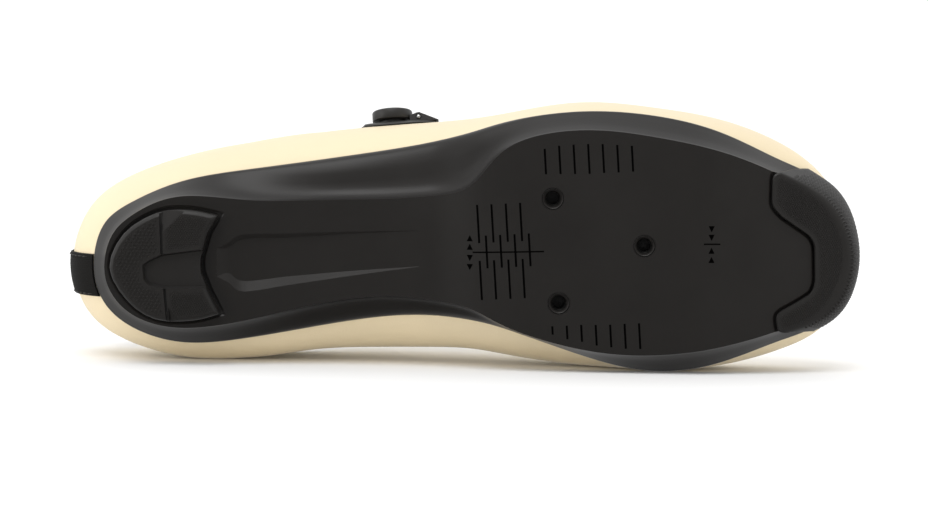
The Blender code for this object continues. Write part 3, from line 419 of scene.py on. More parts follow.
# Edge where the sole's rim meets the upper: place along the length, then the lateral and the medial
# distance from the centre line, as shares of LENGTH and of the breadth at that place
RIM_ROWS = (
    (0.040, 0.007, 0.007),
    (0.052, -0.189, 0.186),
    (0.089, -0.308, 0.316),
    (0.153, -0.411, 0.389),
    (0.234, -0.464, 0.366),
    (0.320, -0.480, 0.295),
    (0.401, -0.484, 0.232),
    (0.462, -0.492, 0.211),
    (0.515, -0.514, 0.218),
    (0.568, -0.546, 0.253),
    (0.650, -0.572, 0.335),
    (0.739, -0.557, 0.396),
    (0.824, -0.494, 0.367),
    (0.902, -0.387, 0.292),
    (0.964, -0.275, 0.207),
    (0.994, -0.023, -0.023),
)

# Edge of the flat plate under the sole, same columns
EDGE_ROWS = (
    (0.058, 0.004, 0.004),
    (0.067, -0.147, 0.135),
    (0.096, -0.259, 0.245),
    (0.153, -0.343, 0.301),
    (0.234, -0.322, 0.264),
    (0.320, -0.301, 0.180),
    (0.401, -0.284, 0.132),
    (0.462, -0.281, 0.137),
    (0.515, -0.318, 0.164),
    (0.561, -0.452, 0.228),
    (0.650, -0.506, 0.303),
    (0.739, -0.481, 0.324),
    (0.824, -0.424, 0.295),
    (0.899, -0.334, 0.239),
    (0.950, -0.225, 0.157),
    (0.977, -0.023, -0.023),
)

# Widest line of the upper: place, lateral, medial, then the height on each side as a share of the
# shoe's height there
WIDE_ROWS = (
    (0.005, 0.014, 0.014, 0.535, 0.535),
    (0.019, -0.210, 0.224, 0.535, 0.521),
    (0.062, -0.386, 0.375, 0.533, 0.460),
    (0.146, -0.517, 0.478, 0.516, 0.410),
    (0.238, -0.589, 0.478, 0.512, 0.400),
    (0.320, -0.599, 0.421, 0.523, 0.430),
    (0.398, -0.583, 0.386, 0.533, 0.469),
    (0.462, -0.564, 0.361, 0.530, 0.471),
    (0.515, -0.558, 0.349, 0.514, 0.448),
    (0.568, -0.570, 0.363, 0.480, 0.425),
    (0.654, -0.601, 0.391, 0.464, 0.432),
    (0.746, -0.581, 0.398, 0.474, 0.439),
    (0.831, -0.534, 0.388, 0.491, 0.474),
    (0.913, -0.434, 0.328, 0.544, 0.526),
    (0.972, -0.275, 0.217, 0.596, 0.596),
    (0.999, -0.025, -0.025, 0.632, 0.632),
)

# Edge of the collar and throat: the same columns, then the upper's crown, as the share of the way out
# to the widest line at which it turns over, and how far it has dropped there
TOP_ROWS = (
    (0.030, 0.007, 0.007, 1.000, 1.000, 0.20, 0.35),
    (0.043, -0.189, 0.196, 0.986, 0.986, 0.20, 0.35),
    (0.082, -0.322, 0.336, 0.918, 0.918, 0.20, 0.35),
    (0.156, -0.413, 0.432, 0.819, 0.825, 0.20, 0.35),
    (0.242, -0.451, 0.486, 0.754, 0.774, 0.22, 0.35),
    (0.320, -0.375, 0.382, 0.836, 0.855, 0.32, 0.25),
    (0.384, -0.204, 0.198, 0.990, 1.009, 0.45, 0.15),
    (0.442, -0.139, 0.139, 1.020, 1.022, 0.50, 0.10),
    (0.495, -0.126, 0.117, 1.014, 1.014, 0.50, 0.10),
    (0.542, -0.118, 0.105, 1.014, 1.017, 0.50, 0.10),
    (0.604, -0.106, 0.088, 1.020, 1.024, 0.50, 0.12),
    (0.664, -0.093, 0.070, 1.016, 1.019, 0.50, 0.15),
    (0.707, -0.074, 0.048, 1.012, 1.015, 0.50, 0.22),
    (0.730, -0.053, 0.028, 1.006, 1.006, 0.51, 0.32),
    (0.739, -0.034, 0.006, 1.002, 1.002, 0.52, 0.40),
    (0.741, -0.014, -0.014, 1.000, 1.000, 0.52, 0.42),
)

# Side view of the sole: place, rise of the plate as shares of ARCH_RISE and TOE_SPRING, and height of
# the side above the plate as a share of SIDE_HEIGHT
SIDE_ROWS = (
    (0.000, 0.545, 0.00, 1.000),
    (0.142, 0.500, 0.00, 1.045),
    (0.249, 0.727, 0.00, 1.000),
    (0.355, 1.000, 0.00, 1.000),
    (0.462, 0.727, 0.00, 1.000),
    (0.533, 0.136, 0.00, 1.136),
    (0.586, 0.000, 0.00, 1.045),
    (0.675, 0.000, 0.00, 1.000),
    (0.789, 0.000, 0.00, 1.045),
    (0.853, 0.000, 0.20, 1.000),
    (0.906, 0.000, 0.45, 1.000),
    (0.959, 0.000, 0.75, 0.909),
    (1.002, 0.000, 1.00, 0.818),
)

# Tapering recess along the shank: place, lateral and medial edge, depth as a share of SHANK_DEPTH
SHANK_ROWS = (
    (0.203, -0.087, 0.050, 0.90),
    (0.230, -0.154, 0.124, 1.00),
    (0.284, -0.153, 0.093, 0.84),
    (0.337, -0.151, 0.062, 0.60),
    (0.391, -0.148, 0.032, 0.33),
    (0.448, -0.144, 0.004, 0.04),
)

# Outline of the heel pad's round side from its medial to its lateral front corner, and of its notched
# front, as shares of the pad's length and width
PAD_ROUND = ((1.000, 0.408), (0.740, 0.473), (0.408, 0.461), (0.153, 0.294), (0.000, 0.002),
             (0.130, -0.298), (0.416, -0.478), (0.700, -0.507), (0.995, -0.451))
PAD_NOTCH = ((0.889, -0.279), (0.827, -0.066), (0.829, 0.036), (0.896, 0.206))

# Sunk middle of the heel pad, open at the notch, and the inner ends of its two grooves, same shares
TREAD_MIDDLE = ((0.478, -0.114), (0.356, -0.058), (0.309, -0.027), (0.317, 0.102), (0.366, 0.150),
                (0.498, 0.177), (1.100, 0.177), (1.100, -0.190))
TREAD_GROOVES = (((0.465, -0.600), (0.478, -0.114)), ((0.498, 0.177), (0.535, 0.600)))

# Rear edge of the toe pad from the lateral to the medial side, then closed round in front of the toe:
# place along the length and distance from the centre line as a share of BALL_WIDTH
TOE_PAD_OUTLINE = ((0.946, -0.450), (0.946, -0.353), (0.917, -0.356), (0.887, -0.342), (0.886, -0.224),
                   (0.897, -0.186), (0.936, -0.107), (0.942, -0.075), (0.943, 0.069), (0.939, 0.104),
                   (0.916, 0.142), (0.896, 0.171), (0.892, 0.185), (0.895, 0.248), (0.948, 0.256),
                   (0.948, 0.450), (1.060, 0.450), (1.060, -0.450))

# Steps of t along one side of the shoe and all the way round, and the stretch that the middle of the
# plate is taken from
SIDES = len(RIM_ROWS) - 1
TURN = 2.0 * SIDES
SPINE_START = 3.2
SPINE_END = 12.6


class Loop:
    """Smooth closed curve, one unit of t from each of its points to the next."""

    def __init__(self, points):
        self.count = len(points)
        same = np.eye(self.count)
        beside = np.roll(same, 1, axis=0) + np.roll(same, -1, axis=0)
        self.control = np.linalg.solve((4.0 * same + beside) / 6.0, np.asarray(points, float))

    def __call__(self, t):
        t = np.asarray(t, float)
        first = np.floor(t).astype(int)
        f = (t - first)[..., None]
        weights = ((1 - f) ** 3, 3 * f ** 3 - 6 * f ** 2 + 4, 1 + 3 * f + 3 * f ** 2 - 3 * f ** 3, f ** 3)
        total = 0.0
        for step, weight in enumerate(weights):
            total = total + weight * self.control[(first + step - 1) % self.count]
        return total / 6.0


class LevelCurve:
    """Smooth curve through rows that never overshoots them, so that level rows stay level."""

    def __init__(self, places, values):
        self.places = np.asarray(places, float)
        self.values = np.asarray(values, float)
        steps = np.diff(self.values) / np.diff(self.places)
        self.slopes = np.zeros(len(self.values))
        self.slopes[-1] = steps[-1]
        for k in range(1, len(steps)):
            if steps[k - 1] * steps[k] > 0.0:
                self.slopes[k] = 2.0 * steps[k - 1] * steps[k] / (steps[k - 1] + steps[k])

    def __call__(self, place):
        place = np.asarray(place, float)
        k = np.clip(np.searchsorted(self.places, place) - 1, 0, len(self.places) - 2)
        width = self.places[k + 1] - self.places[k]
        f = np.clip((place - self.places[k]) / width, 0.0, 1.0)
        start = ((2 * f ** 3 - 3 * f ** 2 + 1) * self.values[k]
                 + (f ** 3 - 2 * f ** 2 + f) * width * self.slopes[k])
        end = ((3 * f ** 2 - 2 * f ** 3) * self.values[k + 1]
               + (f ** 3 - f ** 2) * width * self.slopes[k + 1])
        return start + end


def smooth_step(share):
    share = np.clip(share, 0.0, 1.0)
    return share * share * (3.0 - 2.0 * share)


def breadth(place):
    """Breadth that the lateral and medial shares refer to, from the heel's to the ball's."""
    return HEEL_WIDTH + (BALL_WIDTH - HEEL_WIDTH) * smooth_step((place - BREADTH_START) / BREADTH_REACH)


def shoe_height(place):
    return np.interp(place, HEIGHT_PLACES, (HEEL_HEIGHT, INSTEP_HEIGHT, VAMP_HEIGHT))


def plan_loop(rows):
    """Closed curve round the shoe in plan: heel, lateral side, toe and back along the medial side."""
    lateral = [(row[0] * LENGTH, row[1] * breadth(row[0])) for row in rows]
    medial = [(row[0] * LENGTH, row[2] * breadth(row[0])) for row in rows]
    return Loop(lateral + medial[-2:0:-1])


def height_loop(rows):
    lateral = [(row[3] * shoe_height(row[0]),) for row in rows]
    medial = [(row[4] * shoe_height(row[0]),) for row in rows]
    return Loop(lateral + medial[-2:0:-1])


def crown_loop(rows):
    crowns = [(row[5], row[6]) for row in rows]
    return Loop(crowns + crowns[-2:0:-1])


def side_curve(column):
    return LevelCurve([row[0] for row in SIDE_ROWS], [row[column] for row in SIDE_ROWS])


RIM = plan_loop(RIM_ROWS)
EDGE = plan_loop(EDGE_ROWS)
WIDE = plan_loop(WIDE_ROWS)
WIDE_HEIGHT = height_loop(WIDE_ROWS)
TOP = plan_loop(TOP_ROWS)
TOP_HEIGHT = height_loop(TOP_ROWS)
CROWN = crown_loop(TOP_ROWS)
ARCH = side_curve(1)
SPRING = side_curve(2)
SIDE = side_curve(3)


def plate_height(x):
    """Height of the flat underside of the sole's plate."""
    return ARCH_RISE * ARCH(x / LENGTH) + TOE_SPRING * SPRING(x / LENGTH)


def rim_height(x):
    return plate_height(x) + SIDE_HEIGHT * SIDE(x / LENGTH)


def with_height(plan, height):
    return np.concatenate([plan, np.asarray(height, float)[..., None]], axis=-1)


def unit(vectors):
    return vectors / np.linalg.norm(vectors, axis=-1, keepdims=True)


def outward(t):
    """Direction away from the shoe in plan, square to the rim."""
    along = RIM(t + 0.01) - RIM(t - 0.01)
    return unit(np.stack([along[..., 1], -along[..., 0]], axis=-1))


def bezier(points, f):
    f = f[..., None]
    return ((1 - f) ** 3 * points[0] + 3 * f * (1 - f) ** 2 * points[1]
            + 3 * f ** 2 * (1 - f) * points[2] + f ** 3 * points[3])


def upper_surface(t, v):
    """Outer side of the upper: v is 0 at the sole's rim, WIDEST at its widest line and 1 at the top."""
    rim = with_height(RIM(t), rim_height(RIM(t)[..., 0]) + GAP)
    wide = with_height(WIDE(t), WIDE_HEIGHT(t)[..., 0])
    top = with_height(TOP(t), TOP_HEIGHT(t)[..., 0])
    crown = CROWN(t)
    up = np.array([0.0, 0.0, 1.0])
    flat = np.array([1.0, 1.0, 0.0])
    rise = (wide - rim)[..., 2:3]
    climb = (top - wide)[..., 2:3]
    beside = rim + RIM_PULL[0] * (wide - rim) * flat + RIM_PULL[1] * rise * up
    low = (rim, beside, wide - WIDE_PULL[0] * rise * up, wide)
    turn = top + crown[..., 0:1] * (wide - top) * flat - crown[..., 1:2] * climb * up
    high = (wide, wide + WIDE_PULL[1] * climb * up, turn, top)
    lower = bezier(low, np.clip(v / WIDEST, 0.0, 1.0))
    higher = bezier(high, np.clip((v - WIDEST) / (1.0 - WIDEST), 0.0, 1.0))
    return np.where((v < WIDEST)[..., None], lower, higher)


def upper_normal(t, v):
    step = 0.004
    around = upper_surface(t + step, v) - upper_surface(t - step, v)
    above = np.minimum(v + step, 1.0)
    below = np.maximum(v - step, 0.0)
    return unit(np.cross(around, upper_surface(t, above) - upper_surface(t, below)))


def upper_offset(t, v, lift):
    """Point a distance outside the upper's outer side, or inside it where the lift is negative."""
    t, v = np.broadcast_arrays(np.asarray(t, float), np.asarray(v, float))
    return upper_surface(t, v) + np.asarray(lift)[..., None] * upper_normal(t, v)


def spine(t):
    """Middle of the plate beside each place round the shoe, the same point for both sides."""
    fold = np.minimum(t % TURN, TURN - t % TURN)
    row = np.clip(fold, SPINE_START, SPINE_END)
    return 0.5 * (EDGE(row) + EDGE(TURN - row))


def toe_pad_side(t):
    """How far the toe pad stands out beyond the rim, less towards its two rear ends."""
    start, end = TOE_PAD_GROWTH
    growth = smooth_step((RIM(t)[..., 0] / LENGTH - start) / (end - start))
    return TOE_PAD_END + (TOE_PAD_SIDE - TOE_PAD_END) * growth


def underside(t, profile, side=0.0, under=0.0, rows=PLATE_ROWS):
    """Rings of the sole's outer form from the middle of its plate to its rim, grown by two offsets.

    The profile has one pair of shares for all places or one for each place round the shoe.
    """
    edge, rim, middle = EDGE(t), RIM(t), spine(t)
    side = np.asarray(side, float)[..., None]
    rings = []
    for share in np.linspace(0.0, 1.0, rows):
        plan = middle + share * (edge - middle)
        rings.append(with_height(plan, plate_height(plan[..., 0]) - under))
    low = plate_height(edge[..., 0]) - under
    high = rim_height(rim[..., 0])
    for across, up in profile:
        across = np.asarray(across, float)[..., None]
        plan = edge + across * (rim - edge) + across * side * outward(t)
        rings.append(with_height(plan, low + up * (high - low)))
    return rings


def blended(first, second, share):
    """Profile for each place between two of the same length: the second where the share is 1."""
    share = np.asarray(share, float)
    first, second = (np.reshape(rows, np.shape(rows) + (1,) * share.ndim) for rows in (first, second))
    return first + share * (second - first)


def sole_side(t):
    """Section of the sole's side: a plain slope at heel and toe, a cove along the waist."""
    place = EDGE(t)[..., 0] / LENGTH
    start, full, fading, end = COVE_PLACES
    cove = smooth_step((place - start) / (full - start)) * smooth_step((end - place) / (end - fading))
    return blended(smooth_line(PLAIN_SIDE, 4)[1:], smooth_line(COVE_SIDE, 4)[1:], cove)


def toe_side(t):
    """Section of the toe pad: its ridge lies well in at both ends and runs out at the tip."""
    tip = 1.0 - np.minimum(np.abs(t % TURN - SIDES - RIDGE_TIP) / RIDGE_REACH, 1.0)
    return blended(TOE_END_SIDE, TOE_TIP_SIDE, smooth_step(tip))


def footbed(t):
    """Rings inside the sole's cup: rim's land, wall, shelf, edge of the flat bed, half way, middle."""
    edge, rim, middle = EDGE(t), RIM(t), spine(t)
    depth = np.linalg.norm(edge - rim, axis=-1)[..., None]
    inward = (edge - rim) / depth
    high = rim_height(rim[..., 0])
    low = plate_height(edge[..., 0]) + SOLE_THICKNESS
    wall = rim + inward * (RIM_LAND + RIM_WALL_SLOPE)
    shelf = rim + inward * np.maximum(SHELF_SHARE * depth + SHELF_STEP, RIM_LAND + 2.0 * RIM_WALL_SLOPE)
    bed = rim + inward * np.maximum(depth, BED_INSET)
    rings = [with_height(rim + inward * RIM_LAND, high),
             with_height(wall, high - RIM_WALL_DEPTH),
             with_height(shelf, low + SHELF_RISE * (high - low))]
    for share in (1.0, 0.5, 0.0):
        plan = middle + share * (bed - middle)
        rings.append(with_height(plan, plate_height(plan[..., 0]) + SOLE_THICKNESS))
    return rings


def move(point, offset):
    return point + np.array([0.0, 0.0, offset])


def bolt_axes():
    """Middle of the rear inserts, the direction from it to the front one and the direction across."""
    forward = np.array([math.cos(BOLT_TURN), -math.sin(BOLT_TURN)])
    return np.array([BOLT_CENTRE_X, BOLT_CENTRE_Y]), forward, np.array([-forward[1], forward[0]])


def bolt_places():
    """Plan points of the three inserts: rear lateral, rear medial and front."""
    centre, forward, across = bolt_axes()
    return (centre - 0.5 * BOLT_SPACING * across, centre + 0.5 * BOLT_SPACING * across,
            centre + BOLT_REACH * forward)


def smooth_line(points, steps):
    """Points along a smooth open curve through the given ones."""
    points = np.asarray(points, float)
    padded = np.concatenate([[2 * points[0] - points[1]], points, [2 * points[-1] - points[-2]]])
    line = []
    for k in range(len(points) - 1):
        a, b, c, d = padded[k:k + 4]
        for f in np.arange(steps) / steps:
            line.append(0.5 * (2 * b + (c - a) * f + (2 * a - 5 * b + 4 * c - d) * f ** 2
                               + (3 * b - a - 3 * c + d) * f ** 3))
    line.append(points[-1])
    return np.array(line)


def inset_outline(outline, distance):
    """Outline moved in by a distance, for one that runs anticlockwise."""
    before = outline - np.roll(outline, 1, axis=0)
    after = np.roll(outline, -1, axis=0) - outline
    before, after = unit(before), unit(after)
    left_before = np.stack([-before[:, 1], before[:, 0]], axis=1)
    left_after = np.stack([-after[:, 1], after[:, 0]], axis=1)
    middle = left_before + left_after
    scale = 2.0 / np.maximum(np.sum(middle * middle, axis=1), 0.5)
    return outline + distance * middle * scale[:, None]


def pad_points(shares):
    shares = np.asarray(shares, float)
    return np.stack([HEEL_PAD_START + shares[:, 0] * HEEL_PAD_LENGTH, shares[:, 1] * HEEL_PAD_WIDTH], axis=1)


def heel_pad_outline():
    """Outline of the hollow that the heel pad sits in, anticlockwise seen from above."""
    side = smooth_line(pad_points(PAD_ROUND), 3)
    return np.concatenate([side, pad_points(PAD_NOTCH)])


def heel_pad_seat():
    return plate_height(HEEL_PAD_START) + HEEL_PAD_SINK


def place_beside(y, v, start, end):
    """The t between two bounds at which the upper's surface has the given y, by halving."""
    for _ in range(HALVINGS):
        half = 0.5 * (start + end)
        if upper_surface(np.float64(half), np.float64(v))[1] > y:
            start = half
        else:
            end = half
    return 0.5 * (start + end)


def place_on_upper(x, z, t, v):
    """The (t, v) of the upper's surface at a place along the shoe and a height, from a first guess."""
    step = SEARCH_STEP
    for _ in range(SEARCH_ROUNDS):
        here = upper_surface(np.float64(t), np.float64(v))
        by_t = (upper_surface(np.float64(t + step), np.float64(v)) - here) / step
        by_v = (upper_surface(np.float64(t), np.float64(v + step)) - here) / step
        wrong = np.array([x - here[0], z - here[2]])
        change = np.linalg.solve(np.array([[by_t[0], by_v[0]], [by_t[2], by_v[2]]]), wrong)
        t, v = t + change[0], v + change[1]
    return t, v


def surface_frame(t, v, forward=(1.0, 0.0, 0.0)):
    """Matrix at a point of the upper: its x along the shoe, its z straight out of the surface."""
    out = Vector(upper_normal(np.float64(t), np.float64(v)))
    side = out.cross(Vector(forward)).normalized()
    along = side.cross(out)
    matrix = Matrix((along, side, out)).transposed().to_4x4()
    matrix.translation = Vector(upper_surface(np.float64(t), np.float64(v)))
    return matrix


def drop_on_upper(frame, along, side, guess):
    """The (t, v) of the upper under a point of a surface frame, straight along the frame's z."""
    back = np.array(frame.inverted())
    t, v = guess
    for _ in range(DROP_ROUNDS):
        values = []
        for dt, dv in ((0.0, 0.0), (SEARCH_STEP, 0.0), (0.0, SEARCH_STEP)):
            point = upper_surface(np.float64(t + dt), np.float64(v + dv))
            values.append((back[:3, :3] @ point + back[:3, 3])[:2])
        slope = np.array([values[1] - values[0], values[2] - values[0]]).T / SEARCH_STEP
        change = np.linalg.solve(slope, np.array([along, side]) - values[0])
        t, v = t + change[0], v + change[1]
    return t, v


def dial_half_width(along):
    """Half width of the dial's base: round behind the knob, tapering to a tip in front."""
    if along < 0.0:
        return max(0.5 * DIAL_BASE_WIDTH * math.sqrt(1.0 - (along / DIAL_BASE_BACK) ** 2), DIAL_LEAST_HALF)
    share = (along / DIAL_BASE_FRONT) ** DIAL_TAPER
    return 0.5 * (DIAL_BASE_WIDTH + (DIAL_TIP_WIDTH - DIAL_BASE_WIDTH) * share)


def guide_frame(t):
    """Frame of a wire guide beside the throat, its x along the edge towards the toe."""
    ahead = GUIDE_AHEAD if t < SIDES else -GUIDE_AHEAD
    along = TOP(t + ahead) - TOP(t)
    climb = TOP_HEIGHT(t + ahead) - TOP_HEIGHT(t)
    return surface_frame(t, GUIDE_LEVEL, (along[0], along[1], climb[0]))


def wire_route():
    """Points of the wire: in at the top lateral guide, back and forth, and out of sight in the last."""
    height = GUIDE_LIFT + 0.5 * GUIDE_THICKNESS
    route = []
    for number, row in enumerate(GUIDE_ROWS):
        last = number == len(GUIDE_ROWS) - 1
        for side, t in ((1.0, row), (-1.0, TURN - row)):
            frame = guide_frame(t)
            turn = [(along * WIRE_LANE, side * (mouth * WIRE_MOUTH + bend * WIRE_BEND))
                    for along, mouth, bend in WIRE_TURN]
            if number == 0 and side > 0:
                turn = turn[3:]
            if last and side < 0:
                turn = turn[:4]
            route += [frame @ Vector((x, y, height)) for x, y in turn]
    return route


def reach_along(points):
    """Distance along a line from its first point to each of its points."""
    return np.concatenate([[0.0], np.cumsum(np.linalg.norm(np.diff(points, axis=0), axis=1))])


def circle_points(count):
    """Angles of evenly spaced points round a circle, and the points."""
    angle = np.arange(count) * 2.0 * math.pi / count
    return angle, np.stack([np.cos(angle), np.sin(angle)], axis=-1)


def around(count):
    """Evenly spaced values of t all the way round the shoe."""
    return np.arange(count) * TURN / count


def clean(mesh):
    """The mesh with its doubled corners joined and its faces turned outwards."""
    work = bmesh.new()
    work.from_mesh(mesh)
    bmesh.ops.remove_doubles(work, verts=work.verts, dist=WELD)
    bmesh.ops.recalc_face_normals(work, faces=work.faces)
    work.to_mesh(mesh)
    work.free()
    return mesh


def surface(rings, closed=True, loop=False, capped=False):
    """Mesh through rings of points. loop joins the last ring to the first, capped fills both ends."""
    rings = np.asarray(rings, float)
    rows, count = rings.shape[:2]
    number = np.arange(rows * count).reshape(rows, count)
    ends = [number[0][::-1].tolist(), number[-1].tolist()] if capped else []
    if closed:
        number = np.concatenate([number, number[:, :1]], axis=1)
    if loop:
        number = np.concatenate([number, number[:1]], axis=0)
    quads = np.stack([number[:-1, :-1], number[:-1, 1:], number[1:, 1:], number[1:, :-1]], axis=-1)
    mesh = bpy.data.meshes.new("form")
    mesh.from_pydata(rings.reshape(-1, 3).tolist(), [], quads.reshape(-1, 4).tolist() + ends)
    return clean(mesh)


def prism(outlines, heights):
    """Closed body through plan outlines, one height or one height a corner for each."""
    rings = [with_height(plan, np.broadcast_to(z, len(plan))) for plan, z in zip(outlines, heights)]
    return surface(rings, capped=True)


def lathe(profile, steps=ROUND_STEPS):
    """Body turned round its own z from pairs of radius and height."""
    circle = circle_points(steps)[1]
    return surface([with_height(radius * circle, np.full(steps, z)) for radius, z in profile])


def round_bar(radius, start, end):
    """Plain bar round its own z between two heights."""
    return lathe(((0.0, start), (radius, start), (radius, end), (0.0, end)))


def placed(mesh, matrix):
    mesh.transform(matrix)
    return mesh


def add_object(name, mesh):
    item = bpy.data.objects.new(name, mesh)
    bpy.context.scene.collection.objects.link(item)
    return item


def finished(item):
    """Mesh of an object with its modifiers applied, the object gone."""
    bpy.context.view_layer.update()
    graph = bpy.context.evaluated_depsgraph_get()
    mesh = bpy.data.meshes.new_from_object(item.evaluated_get(graph))
    bpy.data.objects.remove(item)
    return mesh


def carve(mesh, tool, operation="DIFFERENCE"):
    """Mesh of a closed form with another one cut from it, or the part shared with it."""
    item, other = add_object("form", mesh), add_object("tool", tool)
    step = item.modifiers.new("Carve", "BOOLEAN")
    step.operation = operation
    step.solver = "EXACT"
    step.object = other
    made = finished(item)
    bpy.data.objects.remove(other)
    return made


def bevelled(mesh, width, segments=3, angle=40.0):
    item = add_object("form", mesh)
    bevel = item.modifiers.new("Edges", "BEVEL")
    bevel.width = width
    bevel.segments = segments
    bevel.limit_method = "ANGLE"
    bevel.angle_limit = math.radians(angle)
    return finished(item)


def joined(*meshes):
    work = bmesh.new()
    for mesh in meshes:
        work.from_mesh(mesh)
    made = bpy.data.meshes.new("form")
    work.to_mesh(made)
    work.free()
    return made


def piece(name, mesh, look, *nodes, sharp=38.0, weighted=False):
    """Shown piece of a mesh made in the shoe's frame, riding on the one body."""
    mesh.name = name
    mesh.transform(SHOE)
    mesh.materials.clear()
    mesh.materials.append(LOOKS[look])
    mesh.shade_smooth()
    mesh.set_sharp_from_angle(angle=math.radians(sharp))
    item = add_object(name, mesh)
    if weighted:
        normals = item.modifiers.new("Normals", "WEIGHTED_NORMAL")
        normals.keep_sharp = True
    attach(item, "root")
    if nodes:
        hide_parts(*nodes)
    return item


def studs(centres, normals, radius, height, size, sides=6, taper=0.55):
    """Many small tapered studs as one mesh, each with its own size as a share."""
    centres, normals = np.asarray(centres, float), unit(np.asarray(normals, float))
    along = unit(np.cross(normals, (0.0, 1.0, 0.0)))
    across = np.cross(normals, along)
    angle = np.arange(sides) * 2.0 * math.pi / sides
    spread = np.cos(angle)[:, None] * along[:, None] + np.sin(angle)[:, None] * across[:, None]
    size = np.asarray(size, float)[:, None, None]
    base = centres[:, None] + radius * size * spread - STUD_SINK * normals[:, None]
    top = centres[:, None] + taper * radius * size * spread + height * size * normals[:, None]
    corners = np.concatenate([base, top], axis=1)
    near = np.arange(sides)
    walls = np.stack([near, (near + 1) % sides, sides + (near + 1) % sides, sides + near], axis=-1)
    faces = []
    for start in np.arange(len(centres)) * 2 * sides:
        faces += (walls + start).tolist()
        faces.append((start + sides + near).tolist())
    mesh = bpy.data.meshes.new("studs")
    mesh.from_pydata(corners.reshape(-1, 3).tolist(), [], faces)
    return mesh


def inside(points, outline):
    """Whether each plan point lies within an outline."""
    x, y = points[:, 0:1], points[:, 1:2]
    ax, ay = outline[:, 0], outline[:, 1]
    bx, by = np.roll(ax, -1), np.roll(ay, -1)
    crossed = (ay > y) != (by > y)
    level = np.where(by == ay, 1.0, by - ay)
    return np.sum(crossed & (x < (bx - ax) * (y - ay) / level + ax), axis=1) % 2 == 1


def edge_distance(points, outline):
    """Distance of each plan point from the nearest stretch of an outline."""
    start = outline[None]
    run = (np.roll(outline, -1, axis=0) - outline)[None]
    gap = points[:, None] - start
    length = np.maximum(np.sum(run * run, axis=-1), WELD ** 2)
    share = np.clip(np.sum(gap * run, axis=-1) / length, 0.0, 1.0)
    return np.linalg.norm(gap - share[..., None] * run, axis=-1).min(axis=1)


def honeycomb(low, high, pitch):
    """Plan points in staggered rows over a box."""
    rows = np.arange(low[1], high[1], pitch * math.sqrt(0.75))
    places = np.arange(low[0], high[0], pitch)
    return np.concatenate([np.stack([places + 0.5 * pitch * (k % 2), np.full(len(places), y)], axis=-1)
                           for k, y in enumerate(rows)])


def evenly(outline, count):
    """Closed outline divided into a number of equal stretches."""
    run = np.linalg.norm(np.roll(outline, -1, axis=0) - outline, axis=1)
    reach = np.concatenate([[0.0], np.cumsum(run)])
    places = np.linspace(0.0, reach[-1], count + 1)[:-1]
    ring = np.concatenate([outline, outline[:1]])
    return np.stack([np.interp(places, reach, ring[:, k]) for k in (0, 1)], axis=-1)


def softened(outline, distance=0.0):
    """Outline moved in by a distance, its corners rounded by averaging each point with its neighbours."""
    outline = evenly(inset_outline(np.asarray(outline, float), distance), PAD_POINTS)
    for _ in range(PAD_SOFTENING):
        outline = 0.25 * np.roll(outline, 1, axis=0) + 0.5 * outline + 0.25 * np.roll(outline, -1, axis=0)
    return outline


def tube(points, radius, sides=16, strands=0, lay=0.0, relief=0.0):
    """Closed tube along points; strands, lay and relief twist fine cords into its skin."""
    points = np.asarray(points, float)
    along = unit(np.gradient(points, axis=0))
    reach = reach_along(points)
    side = np.zeros_like(points)
    side[0] = unit(np.cross(along[0], (0.3, 0.5, 0.8)))
    for k in range(1, len(points)):
        side[k] = unit(side[k - 1] - along[k] * side[k - 1].dot(along[k]))
    other = np.cross(along, side)
    angle = np.arange(sides) * 2.0 * math.pi / sides
    twist = angle[None] * strands + (reach * lay)[:, None]
    distance = np.full((len(points), sides), radius)
    if strands:
        distance = distance - relief * np.abs(np.sin(0.5 * twist))
    rings = (points[:, None] + distance[..., None]
             * (np.cos(angle)[:, None] * side[:, None] + np.sin(angle)[:, None] * other[:, None]))
    return surface(rings, capped=True)


def make_camera():
    """Camera at the photograph's angle to the sole."""
    back = Vector((0.0, -math.sin(VIEW_TILT), -math.cos(VIEW_TILT)))
    up = Vector((0.0, -math.cos(VIEW_TILT), math.sin(VIEW_TILT)))
    turn = Matrix((up.cross(back), up, back)).transposed().to_4x4()
    turn.translation = Vector(VIEW_TARGET) + VIEW_DISTANCE * back
    lens = bpy.data.cameras.new("camera")
    lens.sensor_width = SENSOR_WIDTH_MM
    lens.lens = SENSOR_WIDTH_MM * FOCAL_LENGTH_PX / PHOTO_WIDTH_PX
    camera = add_object("camera", lens)
    camera.matrix_world = SHOE @ turn
    bpy.context.scene.camera = camera


def make_sole():
    """Composite plate with its coved side, heel seat, shank recess and countersunk cleat holes."""
    t = around(SOLE_COLUMNS)
    sole = surface(underside(t, sole_side(t), rows=SOLE_ROWS) + footbed(t))
    outline = softened(heel_pad_outline())
    wide = softened(heel_pad_outline(), -SEAT_LIP)
    rim = plate_height(outline[:, 0])
    sole = carve(sole, prism((wide, wide, outline, outline),
                             (rim - SEAT_REACH, rim, rim + SEAT_LIP_DEPTH, heel_pad_seat())))
    sole = carve(sole, toe_moat())
    sole = carve(sole, shank_form())
    for x, y in bolt_places():
        sole = carve(sole, placed(lathe(HOLE_PROFILE), Matrix.Translation((x, y, 0.0))))
    piece("sole_plate", sole, "plate", "outsole", sharp=18.0, weighted=True)


def toe_moat():
    """Narrow groove in the plate along the toe pad's rear edge."""
    rings = []
    for distance, rise in ((TOE_MOAT_LAP, -SEAT_REACH), (-TOE_MOAT, -SEAT_REACH), (-TOE_MOAT, 0.0),
                           (-TOE_MOAT_FOOT, TOE_MOAT_DEPTH), (TOE_MOAT_LAP, TOE_MOAT_DEPTH)):
        plan = softened(toe_outline(), distance)
        rings.append(with_height(plan, plate_height(plan[:, 0]) + rise))
    return surface(rings, loop=True)


